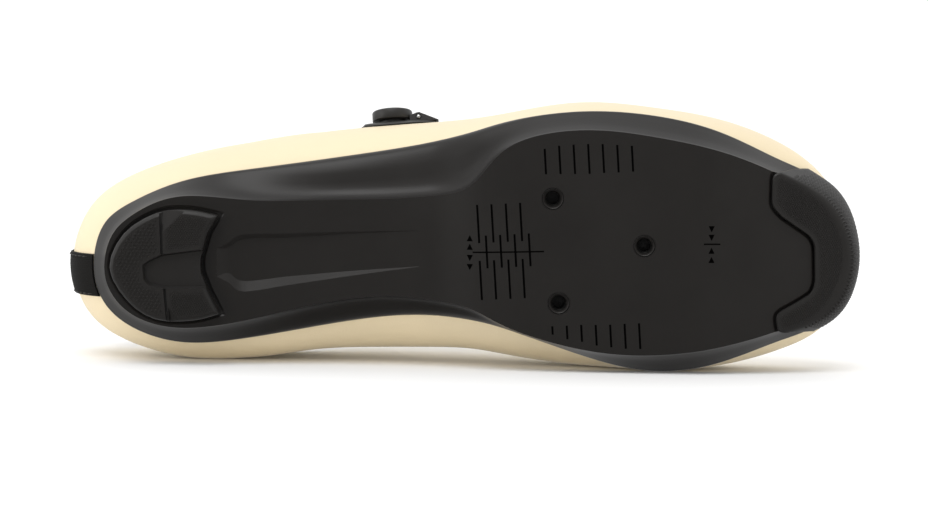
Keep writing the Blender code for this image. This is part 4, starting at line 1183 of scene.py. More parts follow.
def shank_sections():
    """Rows along the shank's hollow, its rear wall sloped like its sides."""
    rows = np.array(SHANK_ROWS)
    back = np.array([SHANK_BACK, *rows[0, 1:3], SHANK_BACK_DEPTH])
    edges = SHANK_BLEND * rows[0, 1:3] + (1.0 - SHANK_BLEND) * rows[1, 1:3]
    floor = np.array([rows[0, 0] + SHANK_BACK_SLOPE, *edges, rows[0, 3]])
    rows = np.concatenate([[back, floor], rows[1:]])
    return smooth_line(rows, SHANK_STEPS)


def shank_form():
    """Tapering hollow with sloped walls that fades out towards the forefoot."""
    rings = []
    for place, lateral, medial, depth in shank_sections():
        x, wide = place * LENGTH, breadth(place)
        base = float(plate_height(x))
        deep = max(depth, SHANK_LEAST_DEPTH) * SHANK_DEPTH
        steps = np.linspace(0.0, 1.0, SHANK_STEPS) * deep
        left = [(x, lateral * wide + SHANK_SLOPES[0] * drop, base + drop) for drop in steps]
        right = [(x, medial * wide - SHANK_SLOPES[1] * drop, base + drop) for drop in steps]
        first = (x, lateral * wide - SHANK_LIP, base - SHANK_LIP)
        last = (x, medial * wide + SHANK_LIP, base - SHANK_LIP)
        rings.append([first] + left + right[::-1] + [last])
    return surface(rings, capped=True)


def painted_groove_shade(outline):
    """Thin near-black strip over a plan outline, following the plate: painted shade of an engraved groove."""
    outline = np.asarray(outline, float)
    level = plate_height(outline[:, 0])
    return prism((outline, outline), (level - MARK_PROUD, level + MARK_DEPTH))


def line_mark(start, end, width=MARK_WIDTH):
    """Straight strip of painted groove shade in short stretches, so that it follows the plate."""
    start, end = np.asarray(start, float), np.asarray(end, float)
    along = unit(end - start)
    half = 0.5 * width * np.array([-along[1], along[0]])
    count = max(2, int(np.linalg.norm(end - start) / MARK_STRETCH))
    line = start + np.linspace(0.0, 1.0, count)[:, None] * (end - start)
    return joined(*(painted_groove_shade((a + half, b + half, b - half, a - half)) for a, b in zip(line[:-1], line[1:])))


def arrow_mark(x, y, point):
    """Small triangle that points to the lateral side, or to the medial side where point is 1."""
    half = 0.5 * ARROW_SIZE
    return painted_groove_shade([(x - half, y - point * half), (x + half, y - point * half), (x, y + point * half)])


def make_marks():
    """Lines and arrows for setting the cleat, square to the line of its bolts."""
    centre, forward, across = bolt_axes()
    marks = []
    for start, step, count, low, high in LADDERS:
        for k in range(count):
            foot = centre + (start + k * step) * forward
            marks.append(line_mark(foot + low * across, foot + high * across))
    for start, lines in ((LATERAL_START, LATERAL_LINES), (MEDIAL_START, MEDIAL_LINES)):
        for k, (low, high) in enumerate(lines):
            foot = centre + (start + k * MARK_STEP) * forward
            marks.append(line_mark(foot + low * across, foot + high * across))
    marks += [line_mark(start, end, LONG_WIDTH) for start, end in LONG_LINES]
    marks += [arrow_mark(x, y, point) for x, y, point in ARROWS]
    # The cleat marks are engraved; these strips paint the shade in their grooves near-black.
    piece("sole_marks_painted_shade", joined(*marks), "painted_groove_shade")


def make_heel_pad():
    """Rubber heel with its sunk middle, two grooves, facets and studded tread."""
    outline = softened(heel_pad_outline(), HEEL_PAD_SLIT)
    plans = [softened(heel_pad_outline(), HEEL_PAD_SLIT + inset) for inset, rise in PAD_CHAMFER]
    heights = [rise for inset, rise in PAD_CHAMFER]
    pad = prism(plans + [outline], heights + [heel_pad_seat() - GAP])
    middle = softened(pad_points(TREAD_MIDDLE)[::-1])
    inner = softened(pad_points(TREAD_MIDDLE)[::-1], MIDDLE_SLOPE)
    pad = carve(pad, prism((middle, middle, inner), (CUT_START, WELD, TREAD_RECESS)))
    lanes = []
    for ends in TREAD_GROOVES:
        start, end = pad_points(ends)
        side = 0.5 * TREAD_GROOVE_WIDTH * unit(np.array([start[1] - end[1], end[0] - start[0]]))
        lane = np.array([start - side, end - side, end + side, start + side])
        lanes.append(lane)
        pad = carve(pad, prism((lane, lane), (CUT_START, TREAD_GROOVE)))
    for facet in HEEL_FACETS:
        pad = carve(pad, facet_form(pad_points(facet)))
    piece("heel_tread", joined(pad, heel_studs(outline, middle, lanes)), "rubber", "heel_pad", sharp=8.0)


def facet_form(corners):
    """Shallow wedge that is deepest at the first corner of a triangle."""
    depth = np.array(FACET_DEPTHS)
    if np.cross(corners[1] - corners[0], corners[2] - corners[0]) < 0.0:
        corners, depth = corners[::-1], depth[::-1]
    return prism((corners, corners), (CUT_START, depth + WELD))


def heel_studs(outline, middle, lanes):
    """Coarse studs on the rear of the pad and fine ones on its two front lugs, fading at the borders."""
    groups = []
    for pitch, radius, height, rear in ((COARSE_PITCH, COARSE_RADIUS, COARSE_HEIGHT, True),
                                        (FINE_PITCH, FINE_RADIUS, FINE_HEIGHT, False)):
        points = honeycomb(outline.min(axis=0), outline.max(axis=0), pitch)
        points = points[inside(points, outline) & ~inside(points, middle)]
        split = np.where(points[:, 1] < 0.0, lanes[0][:, 0].mean(), lanes[1][:, 0].mean())
        points = points[(points[:, 0] < split) == rear]
        room = edge_distance(points, outline) - HEEL_BORDER
        for edge in [middle] + lanes:
            room = np.minimum(room, edge_distance(points, edge) - 0.5 * HEEL_BORDER)
        for facet in HEEL_FACETS:
            room = np.where(inside(points, pad_points(facet)), 0.0, room)
        groups.append(hanging_studs(points, np.zeros(len(points)), room, radius, height))
    return joined(*groups)


def hanging_studs(points, level, room, radius, height):
    """Studs that point down from plan points, smaller where room is short and left out where it ends."""
    size = np.clip(room / STUD_FADE, 0.0, 1.0)
    kept = size > LEAST_STUD
    base = with_height(points, level)[kept]
    return studs(base, np.tile((0.0, 0.0, -1.0), (len(base), 1)), radius, height, size[kept])


def pad_outer(t, s):
    """Point of the toe pad's outer side: s runs from the middle of the plate, 0, to the rim, 1."""
    t, s = np.broadcast_arrays(np.asarray(t, float), np.asarray(s, float))
    rings = np.stack(underside(t, toe_side(t), toe_pad_side(t), TOE_PAD_UNDER, rows=TOE_ROWS))
    place = np.clip(s, 0.0, 1.0) * (len(rings) - 1)
    low = np.minimum(place.astype(int), len(rings) - 2)
    share = (place - low)[..., None]
    row = np.take_along_axis(rings, low[None, ..., None], axis=0)[0]
    following = np.take_along_axis(rings, low[None, ..., None] + 1, axis=0)[0]
    return row + share * (following - row)


def pad_normal(t, s):
    step = 0.01
    around_pad = pad_outer(t + step, s) - pad_outer(t - step, s)
    return unit(np.cross(around_pad, pad_outer(t, s + step) - pad_outer(t, s - step)))


def toe_outline():
    return np.array([(place * LENGTH, share * BALL_WIDTH) for place, share in TOE_PAD_OUTLINE])[::-1]


def make_toe_pad():
    """Rubber wrapped over the toe, knurled in front of its ridge and finely studded behind it."""
    outline, inner = softened(toe_outline()), softened(toe_outline(), TOE_BEVEL)
    level = plate_height(outline[:, 0]) - TOE_PAD_UNDER
    pad = prism((inner, inner, outline, outline), (level - TOE_FORM_BELOW, level, level + TOE_BEVEL,
                                                 TOE_FORM_TOP))
    t = around(SOLE_COLUMNS)
    outer = underside(t, toe_side(t), toe_pad_side(t), TOE_PAD_UNDER)
    pad = carve(pad, lidded(outer, -GAP), "INTERSECT")
    pad = carve(pad, lidded(underside(t, sole_side(t), GAP, GAP), TOE_LID))
    tread = joined(pad, toe_studs(outline), toe_knurls(outline))
    piece("toe_tread", tread, "rubber", "toe_pad", weighted=True)


def lidded(rings, top):
    """Closed body of the sole's outer form, shut by a lid at or above its rim."""
    rings = list(rings)
    rings[-1] = move(rings[-1], min(top, 0.0))
    if top > 0.0:
        rings.append(move(rings[-1], top))
    middle = rings[0].copy()
    middle[:, 2] = rim_height(middle[:, 0]) + top
    return surface(rings + [middle])


def toe_studs(outline):
    """Fine studs on the flat of the toe pad."""
    points = honeycomb(*TOE_STUD_BOX, FINE_PITCH)
    points = points[inside(points, outline)]
    t = np.linspace(0.0, TURN, RIDGE_POINTS)
    ridge = underside(t, toe_side(t), toe_pad_side(t))[PLATE_ROWS + RIDGE_ROW][:, :2]
    points = points[inside(points, ridge)]
    room = np.minimum(edge_distance(points, outline) - TOE_BORDER, edge_distance(points, ridge) - FINE_PITCH)
    return hanging_studs(points, plate_height(points[:, 0]) - TOE_PAD_UNDER, room, FINE_RADIUS, FINE_HEIGHT)


def even_rows(t):
    """Places up the toe pad's slope at one t, evenly spaced over its surface."""
    fine = np.linspace(KNURL_LOW, KNURL_HIGH, SLOPE_POINTS)
    line = pad_outer(np.full(len(fine), t), fine)
    reach = reach_along(line)
    return np.interp(np.linspace(0.0, reach[-1], KNURL_ROWS), reach, fine)


def toe_knurls(outline):
    """Diamond pyramids over the sloped front of the toe pad, all that lie inside its outline."""
    fine = np.linspace(KNURL_START, KNURL_END, RIDGE_POINTS)
    middle = pad_outer(fine, 0.5 * (KNURL_LOW + KNURL_HIGH))
    reach = reach_along(middle)
    columns = int(reach[-1] / (0.5 * KNURL_PITCH))
    t = np.interp(np.arange(columns) * 0.5 * KNURL_PITCH, reach, fine)
    across = np.repeat(t[:, None], KNURL_ROWS, axis=1)
    up = np.stack([even_rows(place) for place in t])
    points = pad_outer(across, up)
    normals = pad_normal(across, up)
    border = inset_outline(outline, TOE_BORDER)
    free = inside(points[..., :2].reshape(-1, 2), border).reshape(across.shape)
    corners, faces = [], []
    for i in range(1, columns - 1):
        for j in range(1, KNURL_ROWS - 1):
            if (i + j) % 2 or not free[i - 1:i + 2, j - 1:j + 2].all():
                continue
            start = len(corners)
            ring = [(i + 1, j), (i, j + 1), (i - 1, j), (i, j - 1)]
            corners += [points[place] - STUD_SINK * normals[place] for place in ring]
            height = KNURL_HEIGHT * (1.0 - KNURL_FADE * smooth_step(j / KNURL_ROWS))
            corners.append(points[i, j] + height * normals[i, j])
            faces += [(start + k, start + (k + 1) % 4, start + 4) for k in range(4)]
    mesh = bpy.data.meshes.new("knurls")
    mesh.from_pydata([tuple(corner) for corner in corners], [], faces)
    return mesh


def crease_depth(points):
    """How far the upper dips or swells at points, from soft folds laid along short lines."""
    total = np.zeros(points.shape[:-1])
    for start, end, depth, width in CREASES:
        start, run = np.array(start), np.array(end) - np.array(start)
        share = np.clip((points - start) @ run / (run @ run), 0.0, 1.0)
        away = np.linalg.norm(points - start - share[..., None] * run, axis=-1)
        place = 2.0 * share - 1.0
        total += depth * np.exp(-(away / width) ** 2) * (1.0 - CREASE_FADE * place ** 2)
        swell = np.exp(-((away - SWELL_DISTANCE * width) / width) ** 2)
        total -= SWELL_SHARE * depth * swell * (1.0 - place ** 4)
    return total


def dressed(t, v):
    """Outer side of the upper with its folds."""
    points = upper_surface(t, v)
    fade = smooth_step(v / CREASE_BORDERS[0]) * smooth_step((1.0 - v) / CREASE_BORDERS[1])
    return points - (fade * crease_depth(points))[..., None] * upper_normal(t, v)


def rolled_edge(t, top, outer, inner, steps=5):
    """Rings that turn over the upper's top edge from one offset to another."""
    v = np.full(len(t), top)
    edge = upper_surface(t, v)
    out = upper_normal(t, v)
    rise = unit(edge - upper_surface(t, v - 0.01))
    radius = 0.5 * (outer - inner)
    rings = []
    for angle in np.linspace(0.0, math.pi, steps + 2)[1:-1]:
        offset = inner + radius + radius * math.cos(angle)
        rings.append(edge + out * offset + rise * radius * math.sin(angle))
    return rings


def make_upper():
    """Cream outer of the upper and the black lining inside it, padded round the collar."""
    t = around(UPPER_COLUMNS)
    levels = np.linspace(0.0, 1.0, UPPER_LEVELS)
    outer = [dressed(t, np.full(len(t), v)) for v in levels]
    within = [upper_offset(t, np.full(len(t), v), -SKIN) for v in levels[::-SKIN_SKIP]]
    skin = surface(outer + rolled_edge(t, 1.0, 0.0, -SKIN) + within, loop=True)
    piece("upper_skin", skin, "skin", "upper", sharp=60.0)
    top = 1.0 - LINING_DROP
    levels = np.linspace(0.0, top, LINING_LEVELS)
    heel = smooth_step((COLLAR_END - np.minimum(t, TURN - t)) / COLLAR_FADE)
    outer = [upper_offset(t, np.full(len(t), v), -SKIN - LINING_GAP) for v in levels[::LINING_SKIP]]
    within = []
    for v in levels[::-1]:
        swell = np.sin(math.pi * np.clip((v - COLLAR_LOW) / (top - COLLAR_LOW), 0.0, 1.0)) * heel
        inner = upper_offset(t, np.full(len(t), v), -UPPER_WALL)
        within.append(inner - (COLLAR_PAD * swell)[:, None] * upper_normal(t, np.full(len(t), v)))
    outer[0] = move(outer[0], -LINING_FOOT)
    within[-1] = move(within[-1], -LINING_FOOT)
    lining = surface(outer + rolled_edge(t, top, -SKIN - LINING_GAP, -UPPER_WALL) + within, loop=True)
    piece("collar_lining", lining, "lining", sharp=60.0)


def stitch_line(points, normals, length, radius):
    """Row of short thread stitches, each an arched bead, on a line of points."""
    meshes = []
    reach = reach_along(points)
    for start in np.arange(0.5 * length, reach[-1] - length, STITCH_STEP * length):
        places = np.linspace(start, start + length, len(STITCH_ARCH))
        line = np.stack([np.interp(places, reach, points[:, k]) for k in range(3)], axis=-1)
        out = np.stack([np.interp(places, reach, normals[:, k]) for k in range(3)], axis=-1)
        arch = np.array(STITCH_ARCH)[:, None] * radius
        meshes.append(tube(line + arch * out, radius, sides=6))
    return joined(*meshes)


def make_stitches():
    """Seam along the throat and collar edge."""
    t = np.linspace(0.0, TURN, SEAM_POINTS)
    v = np.full(len(t), SEAM_LEVEL)
    rows = stitch_line(upper_surface(t, v), upper_normal(t, v), STITCH_LENGTH, STITCH_RADIUS)
    piece("edge_seam", rows, "thread")


@functools.cache
def strip_edges(v):
    """The t of the heel strip's medial and lateral edge at a level of the upper."""
    return [place_beside(STRIP_OFFSET + side * STRIP_WIDTH, v, *STRIP_SEARCH) for side in (0.5, -0.5)]


def strip_point(share, v, lift):
    """Point over the heel strip: share from its medial, 0, to its lateral edge, 1."""
    medial, lateral = strip_edges(v)
    return upper_offset(medial + share * (lateral - medial), v, lift)


def make_heel_strip():
    """Woven tape over the back of the heel, its cords raised, with a stitch line near each edge."""
    share = np.linspace(0.0, 1.0, STRIP_CORDS * 4 + 1)
    warp = np.abs(np.sin(math.pi * STRIP_CORDS * share))
    edge = smooth_step(np.minimum(share, 1.0 - share) / STRIP_BORDER)
    rings = []
    for k, v in enumerate(np.linspace(0.0, STRIP_TOP, STRIP_ROWS)):
        weft = 0.5 + 0.5 * np.cos(math.pi * (k / 2.0 + np.floor(STRIP_CORDS * share)))
        thick = STRIP_THICKNESS * (STRIP_THIN + (1.0 - STRIP_THIN) * edge)
        relief = STRIP_RELIEF * (warp - WARP_MIDDLE + WEFT_SHARE * weft) * edge
        front = strip_point(share, v, GAP + thick + relief)
        back = strip_point(share[::8], v, GAP)
        rings.append(np.concatenate([front, back[::-1]]))
    piece("heel_webbing", surface(rings, capped=True), "webbing", "heel_strip", sharp=80.0)
    seams = []
    for place in STRIP_SEAMS:
        levels = np.linspace(STRIP_SEAM_ENDS[0], STRIP_TOP - STRIP_SEAM_ENDS[1], STRIP_SEAM_POINTS)
        line = np.array([strip_point(place, v, GAP + STRIP_THICKNESS + 0.5 * STITCH_RADIUS) for v in levels])
        out = np.array([upper_normal(np.float64(0.0), np.float64(v)) for v in levels])
        seams.append(stitch_line(line, out, STITCH_LENGTH, STITCH_RADIUS))
    piece("webbing_seams", joined(*seams), "thread")


def make_insole():
    """Foam insole with a rounded edge and a cloth top, in the sole's cup."""
    t = around(INSOLE_COLUMNS)
    shelf, bed, half, middle = footbed(t)[2:]
    edge = bed + INSOLE_SPREAD * (shelf - bed)
    below = [middle, half, bed, 0.5 * (bed + edge), edge]
    low = [move(ring, INSOLE_CLEARANCE) for ring in below]
    high = [move(ring, INSOLE_CLEARANCE + INSOLE_THICKNESS) for ring in reversed(below)]
    lip = 0.5 * (low[-1] + high[0])
    lip[:, :2] += INSOLE_BULGE * outward(t)
    insole = piece("insole_foam", surface(low + [lip] + high), "lining", "insole", sharp=50.0)


def tongue_rows():
    """Rows across the tongue's upper side, from its free end to under the toe end of the throat."""
    within = -(UPPER_WALL + TONGUE_CLEARANCE)
    span = np.linspace(0.0, 1.0, 5)[1:-1, None]
    rows = []
    for t in np.arange(TONGUE_START, TONGUE_END, TONGUE_STEP):
        lap = TONGUE_LAP * np.clip(t - TONGUE_START, 0.1, 1.0) * np.array([1.0, 0.5, 0.0])
        lateral = upper_offset(t, 1.0 - lap, within)
        medial = upper_offset(TURN - t, 1.0 - lap, within)
        across = lateral[-1] + span * (medial[-1] - lateral[-1])
        across[:, 2] += TONGUE_ARCH * (1.0 - (2.0 * span[:, 0] - 1.0) ** 2)
        rows.append(np.concatenate([lateral, across, medial[::-1]]))
    root = 0.5 * (rows[0][2] + rows[0][-3])
    shares = np.linspace(-1.0, 1.0, len(rows[0]))
    for reach, wide in TONGUE_TOP:
        row = np.outer(np.ones(len(shares)), root + reach * TONGUE_REACH * np.array(TONGUE_CLIMB))
        row[:, 1] += shares * wide * 0.5 * TONGUE_TOP_WIDTH
        row[:, 2] += TONGUE_ARCH * (1.0 - shares ** 2)
        rows.insert(0, row)
    return np.array(rows)


def make_tongue():
    """Padded tongue: swollen between its sewn channels, thin and bound along its edges."""
    rows = tongue_rows()
    fine = smooth_line(rows.reshape(len(rows), -1), 6).reshape(-1, rows.shape[1], 3)
    grid = np.stack([smooth_line(row, 6) for row in fine])
    along = np.gradient(grid, axis=0)
    across = np.gradient(grid, axis=1)
    out = unit(np.cross(across, along))
    half = out.shape[1] // 2
    if out[len(out) // 2, half, 2] < 0.0:
        out = -out
    middle = out[:, half:half + 1]
    flipped = np.sum(out * middle, axis=-1, keepdims=True) < 0.0
    out = unit(np.where(flipped, middle, out) + TONGUE_CALM * middle)
    share = np.linspace(-1.0, 1.0, grid.shape[1])
    place = np.linspace(0.0, 1.0, grid.shape[0])[:, None]
    side, start, end = TONGUE_BORDERS
    border = smooth_step((1.0 - np.abs(share)) / side)
    border = border * smooth_step(place / start) * smooth_step((1 - place) / end)
    channel = np.ones_like(place * share)
    for line in TONGUE_CHANNELS:
        channel -= CHANNEL_DEPTH * np.exp(-((place - line) / CHANNEL_WIDTH) ** 2)
    thick = TONGUE_THICKNESS * (TONGUE_THIN + (1.0 - TONGUE_THIN) * border) * channel
    top = grid - out * (TONGUE_DIP * TONGUE_THICKNESS * (1.0 - border * channel))[..., None]
    under = grid - out * thick[..., None]
    rings = np.concatenate([top, under[:, ::-1]], axis=1)
    tongue = piece("tongue_pad", surface(rings, capped=True), "lining", "tongue", sharp=70.0)


def make_inserts():
    """Black-coated inserts with a real thread in the bore."""
    angle, circle = circle_points(THREAD_STEPS)
    low = COUNTERSINK_DEPTH + INSERT_STEP
    seat = SOLE_THICKNESS - FLANGE_THICKNESS
    barrel, flange = 0.5 * INSERT_BARREL, 0.5 * INSERT_FLANGE
    outer = ((flange, SOLE_THICKNESS), (flange, seat), (barrel, seat), (barrel, low + INSERT_EDGE),
             (barrel - INSERT_EDGE, low))
    plain = [with_height(radius * circle, np.full(THREAD_STEPS, z)) for radius, z in outer]
    thread = []
    for z in np.linspace(low, SOLE_THICKNESS, THREAD_STEPS):
        turn = (z / THREAD_PITCH - angle / (2.0 * math.pi)) % 1.0
        lead = smooth_step((z - low) / THREAD_RUN_IN)
        cone = LEAD_WIDTH * np.clip(1.0 - (z - low) / LEAD_DEPTH, 0.0, 1.0)
        radius = 0.5 * THREAD_BORE + cone + THREAD_DEPTH * (np.abs(2.0 * turn - 1.0) * lead + 1.0 - lead)
        thread.append(with_height(radius[:, None] * circle, np.full(THREAD_STEPS, z)))
    for number, (x, y) in enumerate(bolt_places(), 1):
        mesh = placed(surface(plain + thread, loop=True), Matrix.Translation((x, y, 0.0)))
        piece(f"insert_thread_{number}", mesh, "insert", f"cleat_insert_{number}")


def make_dial():
    """Dial base moulded to the upper, its hinged housing with a pin, and the domed knob."""
    t, v = place_on_upper(DIAL_X, DIAL_Z, *DIAL_GUESS)
    frame = surface_frame(t, v)
    rings = []
    for along in np.linspace(-DIAL_BASE_BACK, DIAL_BASE_FRONT, BASE_ROWS):
        half = dial_half_width(along)
        ends = np.clip(min(along + DIAL_BASE_BACK, DIAL_BASE_FRONT - along) / DIAL_END_FADE, DIAL_END_SHARE, 1.0)
        top, under = [], []
        for side in np.linspace(1.0, -1.0, BASE_COLUMNS):
            place = drop_on_upper(frame, along, half * side, (t, v))
            edge = math.sqrt(1.0 - min(abs(side), DIAL_EDGE) ** DIAL_ROUNDING)
            top.append(upper_offset(*place, DIAL_LIFT + DIAL_BASE_THICKNESS * edge * ends))
            under.append(upper_offset(*place, DIAL_LIFT))
        rings.append(np.array(top + under[::-1]))
    root = DIAL_LIFT + 0.5 * DIAL_BASE_THICKNESS
    boss_top = DIAL_LIFT + DIAL_BASE_THICKNESS + DIAL_BOSS_HEIGHT
    base = surface(rings, capped=True)
    boss = placed(round_bar(DIAL_BOSS_RADIUS, boss_top, root), frame)
    front = 0.5 * KNOB_DIAMETER + HOUSING_GAP
    half = 0.5 * HOUSING_WIDTH
    back = front - HOUSING_REACH
    wedge = ((back, root), (DIAL_BASE_FRONT, root), (DIAL_BASE_FRONT, root + HOUSING_LIP),
             (front + HOUSING_CREST[0], HOUSING_HEIGHT),
             (front + HOUSING_CREST[1], HOUSING_HEIGHT - HOUSING_DIP),
             (back, HOUSING_HEIGHT - HOUSING_FALL))
    housing = surface([[(x, y, z) for x, z in wedge] for y in (half, -half)], capped=True)
    clear = 0.5 * KNOB_DIAMETER + KNOB_CLEARANCE
    housing = carve(bevelled(housing, HOUSING_EDGE), round_bar(clear, CUT_START, KNOB_ROOM))
    housing = placed(housing, frame)
    pin_place = frame @ Matrix.Translation((front + PIN_AHEAD, 0.0, 0.5 * HOUSING_HEIGHT + PIN_RISE))
    pin_place = pin_place @ Matrix.Rotation(math.radians(90.0), 4, "X")
    hole = 0.5 * PIN_DIAMETER + GAP
    bore = placed(round_bar(hole, half + PIN_HOLE_OVER, -half - PIN_HOLE_OVER), pin_place)
    piece("dial_body", joined(base, boss, carve(housing, bore)), "plastic", "dial_base", weighted=True)
    reach = half + PIN_PROUD
    radius = 0.5 * PIN_DIAMETER
    head = [(share * radius, reach + rise) for share, rise in PIN_HEAD]
    pin = placed(lathe(head + [(radius, -reach), (0.0, -reach)]), pin_place)
    piece("dial_pin_head", pin, "pin", "dial_pin")
    low = boss_top + GAP
    rim = 0.5 * KNOB_DIAMETER
    knob = lathe([(share * rim, low + rise * KNOB_HEIGHT) for share, rise in KNOB_PROFILE], steps=KNOB_STEPS)
    piece("dial_cap", placed(knob, frame), "plastic", "dial_knob", sharp=50.0)


def make_lace():
    """Coated lace wire of twisted strands in its rounded guides."""
    route = wire_route()
    line = smooth_line(route, 10)
    lace = tube(line, 0.5 * WIRE_DIAMETER, 18, WIRE_STRANDS, WIRE_LAY, WIRE_RELIEF)
    piece("lace_line", lace, "wire", "lace_wire", sharp=80.0)
    tunnel = tube(smooth_line(route, 4), 0.5 * WIRE_DIAMETER + GAP, 12)
    places = list(GUIDE_ROWS) + [TURN - row for row in GUIDE_ROWS]
    for number, t in enumerate(places, 1):
        work = bmesh.new()
        bmesh.ops.create_cube(work, size=1.0)
        bmesh.ops.scale(work, verts=work.verts, vec=(GUIDE_LENGTH, GUIDE_WIDTH, GUIDE_THICKNESS))
        bmesh.ops.translate(work, verts=work.verts, vec=(0.0, 0.0, GUIDE_LIFT + 0.5 * GUIDE_THICKNESS))
        block = bpy.data.meshes.new("form")
        work.to_mesh(block)
        work.free()
        block = placed(bevelled(block, GUIDE_EDGE, 5), guide_frame(t))
        piece(f"guide_block_{number}", carve(block, tunnel.copy()), "plastic", f"wire_guide_{number}",
              sharp=45.0, weighted=True)


def look(name, colour, rough, grain, depth, slot, shade=0.85, sheen=0.0, coat=0.0, metal=0.0, gloss=0.5,
         cells=False):
    """Procedural finish: colour and roughness that vary softly and a fine relief.

    grain and depth are the relief's size and height in metres.
    """
    finish = bpy.data.materials.new(name)
    finish.use_nodes = True
    nodes, links = finish.node_tree.nodes, finish.node_tree.links
    body = nodes["Principled BSDF"]
    body.inputs["Metallic"].default_value = metal
    body.inputs["Specular IOR Level"].default_value = gloss
    body.inputs["Sheen Weight"].default_value = sheen
    body.inputs["Sheen Roughness"].default_value = SHEEN_ROUGHNESS
    body.inputs["Coat Weight"].default_value = coat
    body.inputs["Coat Roughness"].default_value = COAT_ROUGHNESS
    place = nodes.new("ShaderNodeTexCoord")
    broad = nodes.new("ShaderNodeTexNoise")
    broad.inputs["Scale"].default_value = 1.0 / PATCH_SIZE
    broad.inputs["Detail"].default_value = PATCH_DETAIL
    ramp = nodes.new("ShaderNodeValToRGB")
    dark, bright = ramp.color_ramp.elements
    dark.position, bright.position = PATCH_RANGE
    dark.color = (*(shade * part for part in colour), 1.0)
    bright.color = (*colour, 1.0)
    spread = nodes.new("ShaderNodeMapRange")
    spread.inputs["To Min"].default_value = rough - ROUGHNESS_SPREAD
    spread.inputs["To Max"].default_value = rough + ROUGHNESS_SPREAD
    fine = nodes.new("ShaderNodeTexVoronoi" if cells else "ShaderNodeTexNoise")
    fine.inputs["Scale"].default_value = 1.0 / grain
    bump = nodes.new("ShaderNodeBump")
    bump.inputs["Strength"].default_value = 1.0
    bump.inputs["Distance"].default_value = depth
    links.new(place.outputs["Object"], broad.inputs["Vector"])
    links.new(place.outputs["Object"], fine.inputs["Vector"])
    links.new(broad.outputs[0], ramp.inputs["Fac"])
    links.new(ramp.outputs["Color"], body.inputs["Base Color"])
    links.new(broad.outputs[0], spread.inputs["Value"])
    links.new(spread.outputs["Result"], body.inputs["Roughness"])
    links.new(fine.outputs[0], bump.inputs["Height"])
    links.new(bump.outputs["Normal"], body.inputs["Normal"])
    return finish


def insert_middle(number):
    """Middle of an insert's corners, each counted once."""
    node = FRAME["nodes"][f"cleat_insert_{number}"]
    corners = np.array([tuple(vert.co) for vert in node.data.vertices])
    return Vector(np.unique(np.round(corners, 6), axis=0).mean(axis=0))


def triangle_frame(first, second, third):
    """Frame at the first of three points, its axes set by the other two."""
    across = (second - first).normalized()
    normal = across.cross(third - first).normalized()
    matrix = Matrix((across, normal.cross(across), normal)).transposed().to_4x4()
    matrix.translation = first
    return matrix


def find_shoe():
    """Place of the shoe's own frame in the row's frame, from the three inserts."""
    heights = (SOLE_THICKNESS, SOLE_THICKNESS - FLANGE_THICKNESS, COUNTERSINK_DEPTH + INSERT_STEP)
    middle = sum(heights) / len(heights)
    own = triangle_frame(*(Vector((x, y, middle)) for x, y in bolt_places()))
    return triangle_frame(*(insert_middle(number) for number in (1, 2, 3))) @ own.inverted()


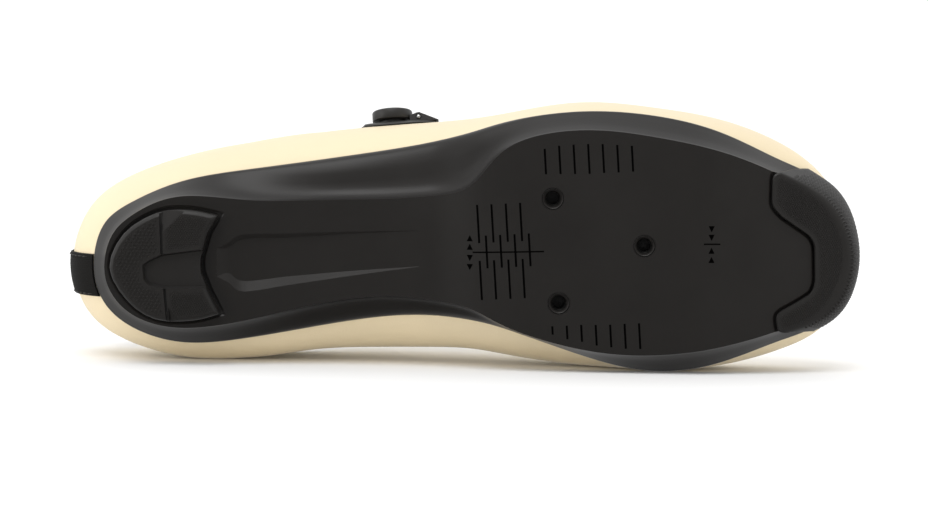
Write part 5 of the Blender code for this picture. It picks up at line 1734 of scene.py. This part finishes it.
def make_studio():
    """Pale floor, a world that is bright above and behind the shoe, and soft lights."""
    half = 0.5 * FLOOR_WIDTH
    floor = add_object("floor", surface([[(-half, -half, 0.0), (half, -half, 0.0)],
                                         [(-half, half, 0.0), (half, half, 0.0)]], closed=False))
    pale = bpy.data.materials.new("floor_paper")
    pale.use_nodes = True
    body = pale.node_tree.nodes["Principled BSDF"]
    body.inputs["Base Color"].default_value = (FLOOR_SHADE, FLOOR_SHADE, FLOOR_SHADE, 1.0)
    body.inputs["Roughness"].default_value = FLOOR_ROUGHNESS
    body.inputs["Specular IOR Level"].default_value = FLOOR_GLOSS
    floor.data.materials.append(pale)
    floor.visible_glossy = False
    world = bpy.data.worlds.new("studio")
    bpy.context.scene.world = world
    world.use_nodes = True
    nodes, links = world.node_tree.nodes, world.node_tree.links
    place = nodes.new("ShaderNodeTexCoord")
    climb = nodes.new("ShaderNodeVectorMath")
    climb.operation = "DOT_PRODUCT"
    climb.inputs[1].default_value = WORLD_UP
    ramp = nodes.new("ShaderNodeMapRange")
    ramp.clamp = False
    ramp.inputs["From Min"].default_value = -WORLD_UP[1]
    ramp.inputs["From Max"].default_value = WORLD_UP[1]
    ramp.inputs["To Min"].default_value = WORLD_LOW
    ramp.inputs["To Max"].default_value = WORLD_HIGH
    links.new(place.outputs["Generated"], climb.inputs[0])
    links.new(climb.outputs["Value"], ramp.inputs["Value"])
    links.new(ramp.outputs["Result"], nodes["Background"].inputs["Strength"])
    nodes["Background"].inputs["Color"].default_value = (1.0, 1.0, 1.0, 1.0)
    sun = bpy.data.lights.new("sun", "SUN")
    sun.angle = SUN_SPREAD
    sun.energy = SUN_POWER
    lamp = add_object("sun", sun)
    lamp.rotation_euler = Vector(SUN_FROM).to_track_quat("Z", "Y").to_euler()
    for name, place, aim, size, power, colour, mirrored in LIGHTS:
        data = bpy.data.lights.new(name, "AREA")
        data.shape = "DISK"
        data.size = size
        data.energy = power
        data.color = colour
        lamp = add_object(name, data)
        lamp.location = place
        lamp.rotation_euler = (Vector(aim) - Vector(place)).to_track_quat("-Z", "Y").to_euler()
        lamp.visible_glossy = mirrored
    bpy.context.scene.view_settings.view_transform = "Standard"
    bpy.context.scene.view_settings.look = "None"


for item in list(bpy.data.objects):
    bpy.data.objects.remove(item)
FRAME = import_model()
SHOE = find_shoe()
make_camera()
LOOKS = {
    "skin": look("skin", (0.80, 0.69, 0.49), 0.55, 0.0007, 0.00004, "upper_microfibre",
                 shade=0.97, sheen=0.06, gloss=0.28, cells=True),
    "plate": look("plate", (0.0150, 0.0138, 0.0132), 0.38, 0.0005, 0.00002, "sole_plate", gloss=0.30),
    "rubber": look("rubber", (0.0155, 0.0145, 0.0140), 0.45, 0.0004, 0.00003, "pad_rubber", gloss=0.32),
    # Near-black and without gloss: painted shade of the engraved cleat marks, which are the plate's own material
    "painted_groove_shade": look("painted_groove_shade", (0.001, 0.001, 0.001), 0.60, 0.0003, 0.00001, "sole_plate", gloss=0.0),
    "webbing": look("webbing", (0.009, 0.0085, 0.008), 0.85, 0.0002, 0.00005, "webbing",
                    sheen=0.03, gloss=0.15),
    "thread": look("thread", (0.018, 0.017, 0.016), 0.80, 0.0002, 0.00002, "webbing", sheen=0.2, gloss=0.3),
    "lining": look("lining", (0.022, 0.022, 0.022), 0.90, 0.0009, 0.00015, "lining", sheen=0.4, cells=True),
    "plastic": look("plastic", (0.020, 0.019, 0.018), 0.42, 0.0004, 0.00002, "dial_plastic"),
    "pin": look("pin", (0.62, 0.62, 0.60), 0.28, 0.0005, 0.00001, "bright_metal", metal=1.0),
    "insert": look("insert", (0.005, 0.005, 0.005), 0.40, 0.0005, 0.00001, "insert_metal", gloss=0.2),
    "wire": look("wire", (0.030, 0.030, 0.030), 0.40, 0.0004, 0.00001, "wire"),
}
make_studio()
make_sole()
make_marks()
make_heel_pad()
make_toe_pad()
make_inserts()
make_upper()
make_stitches()
make_heel_strip()
make_insole()
make_tongue()
make_dial()
make_lace()
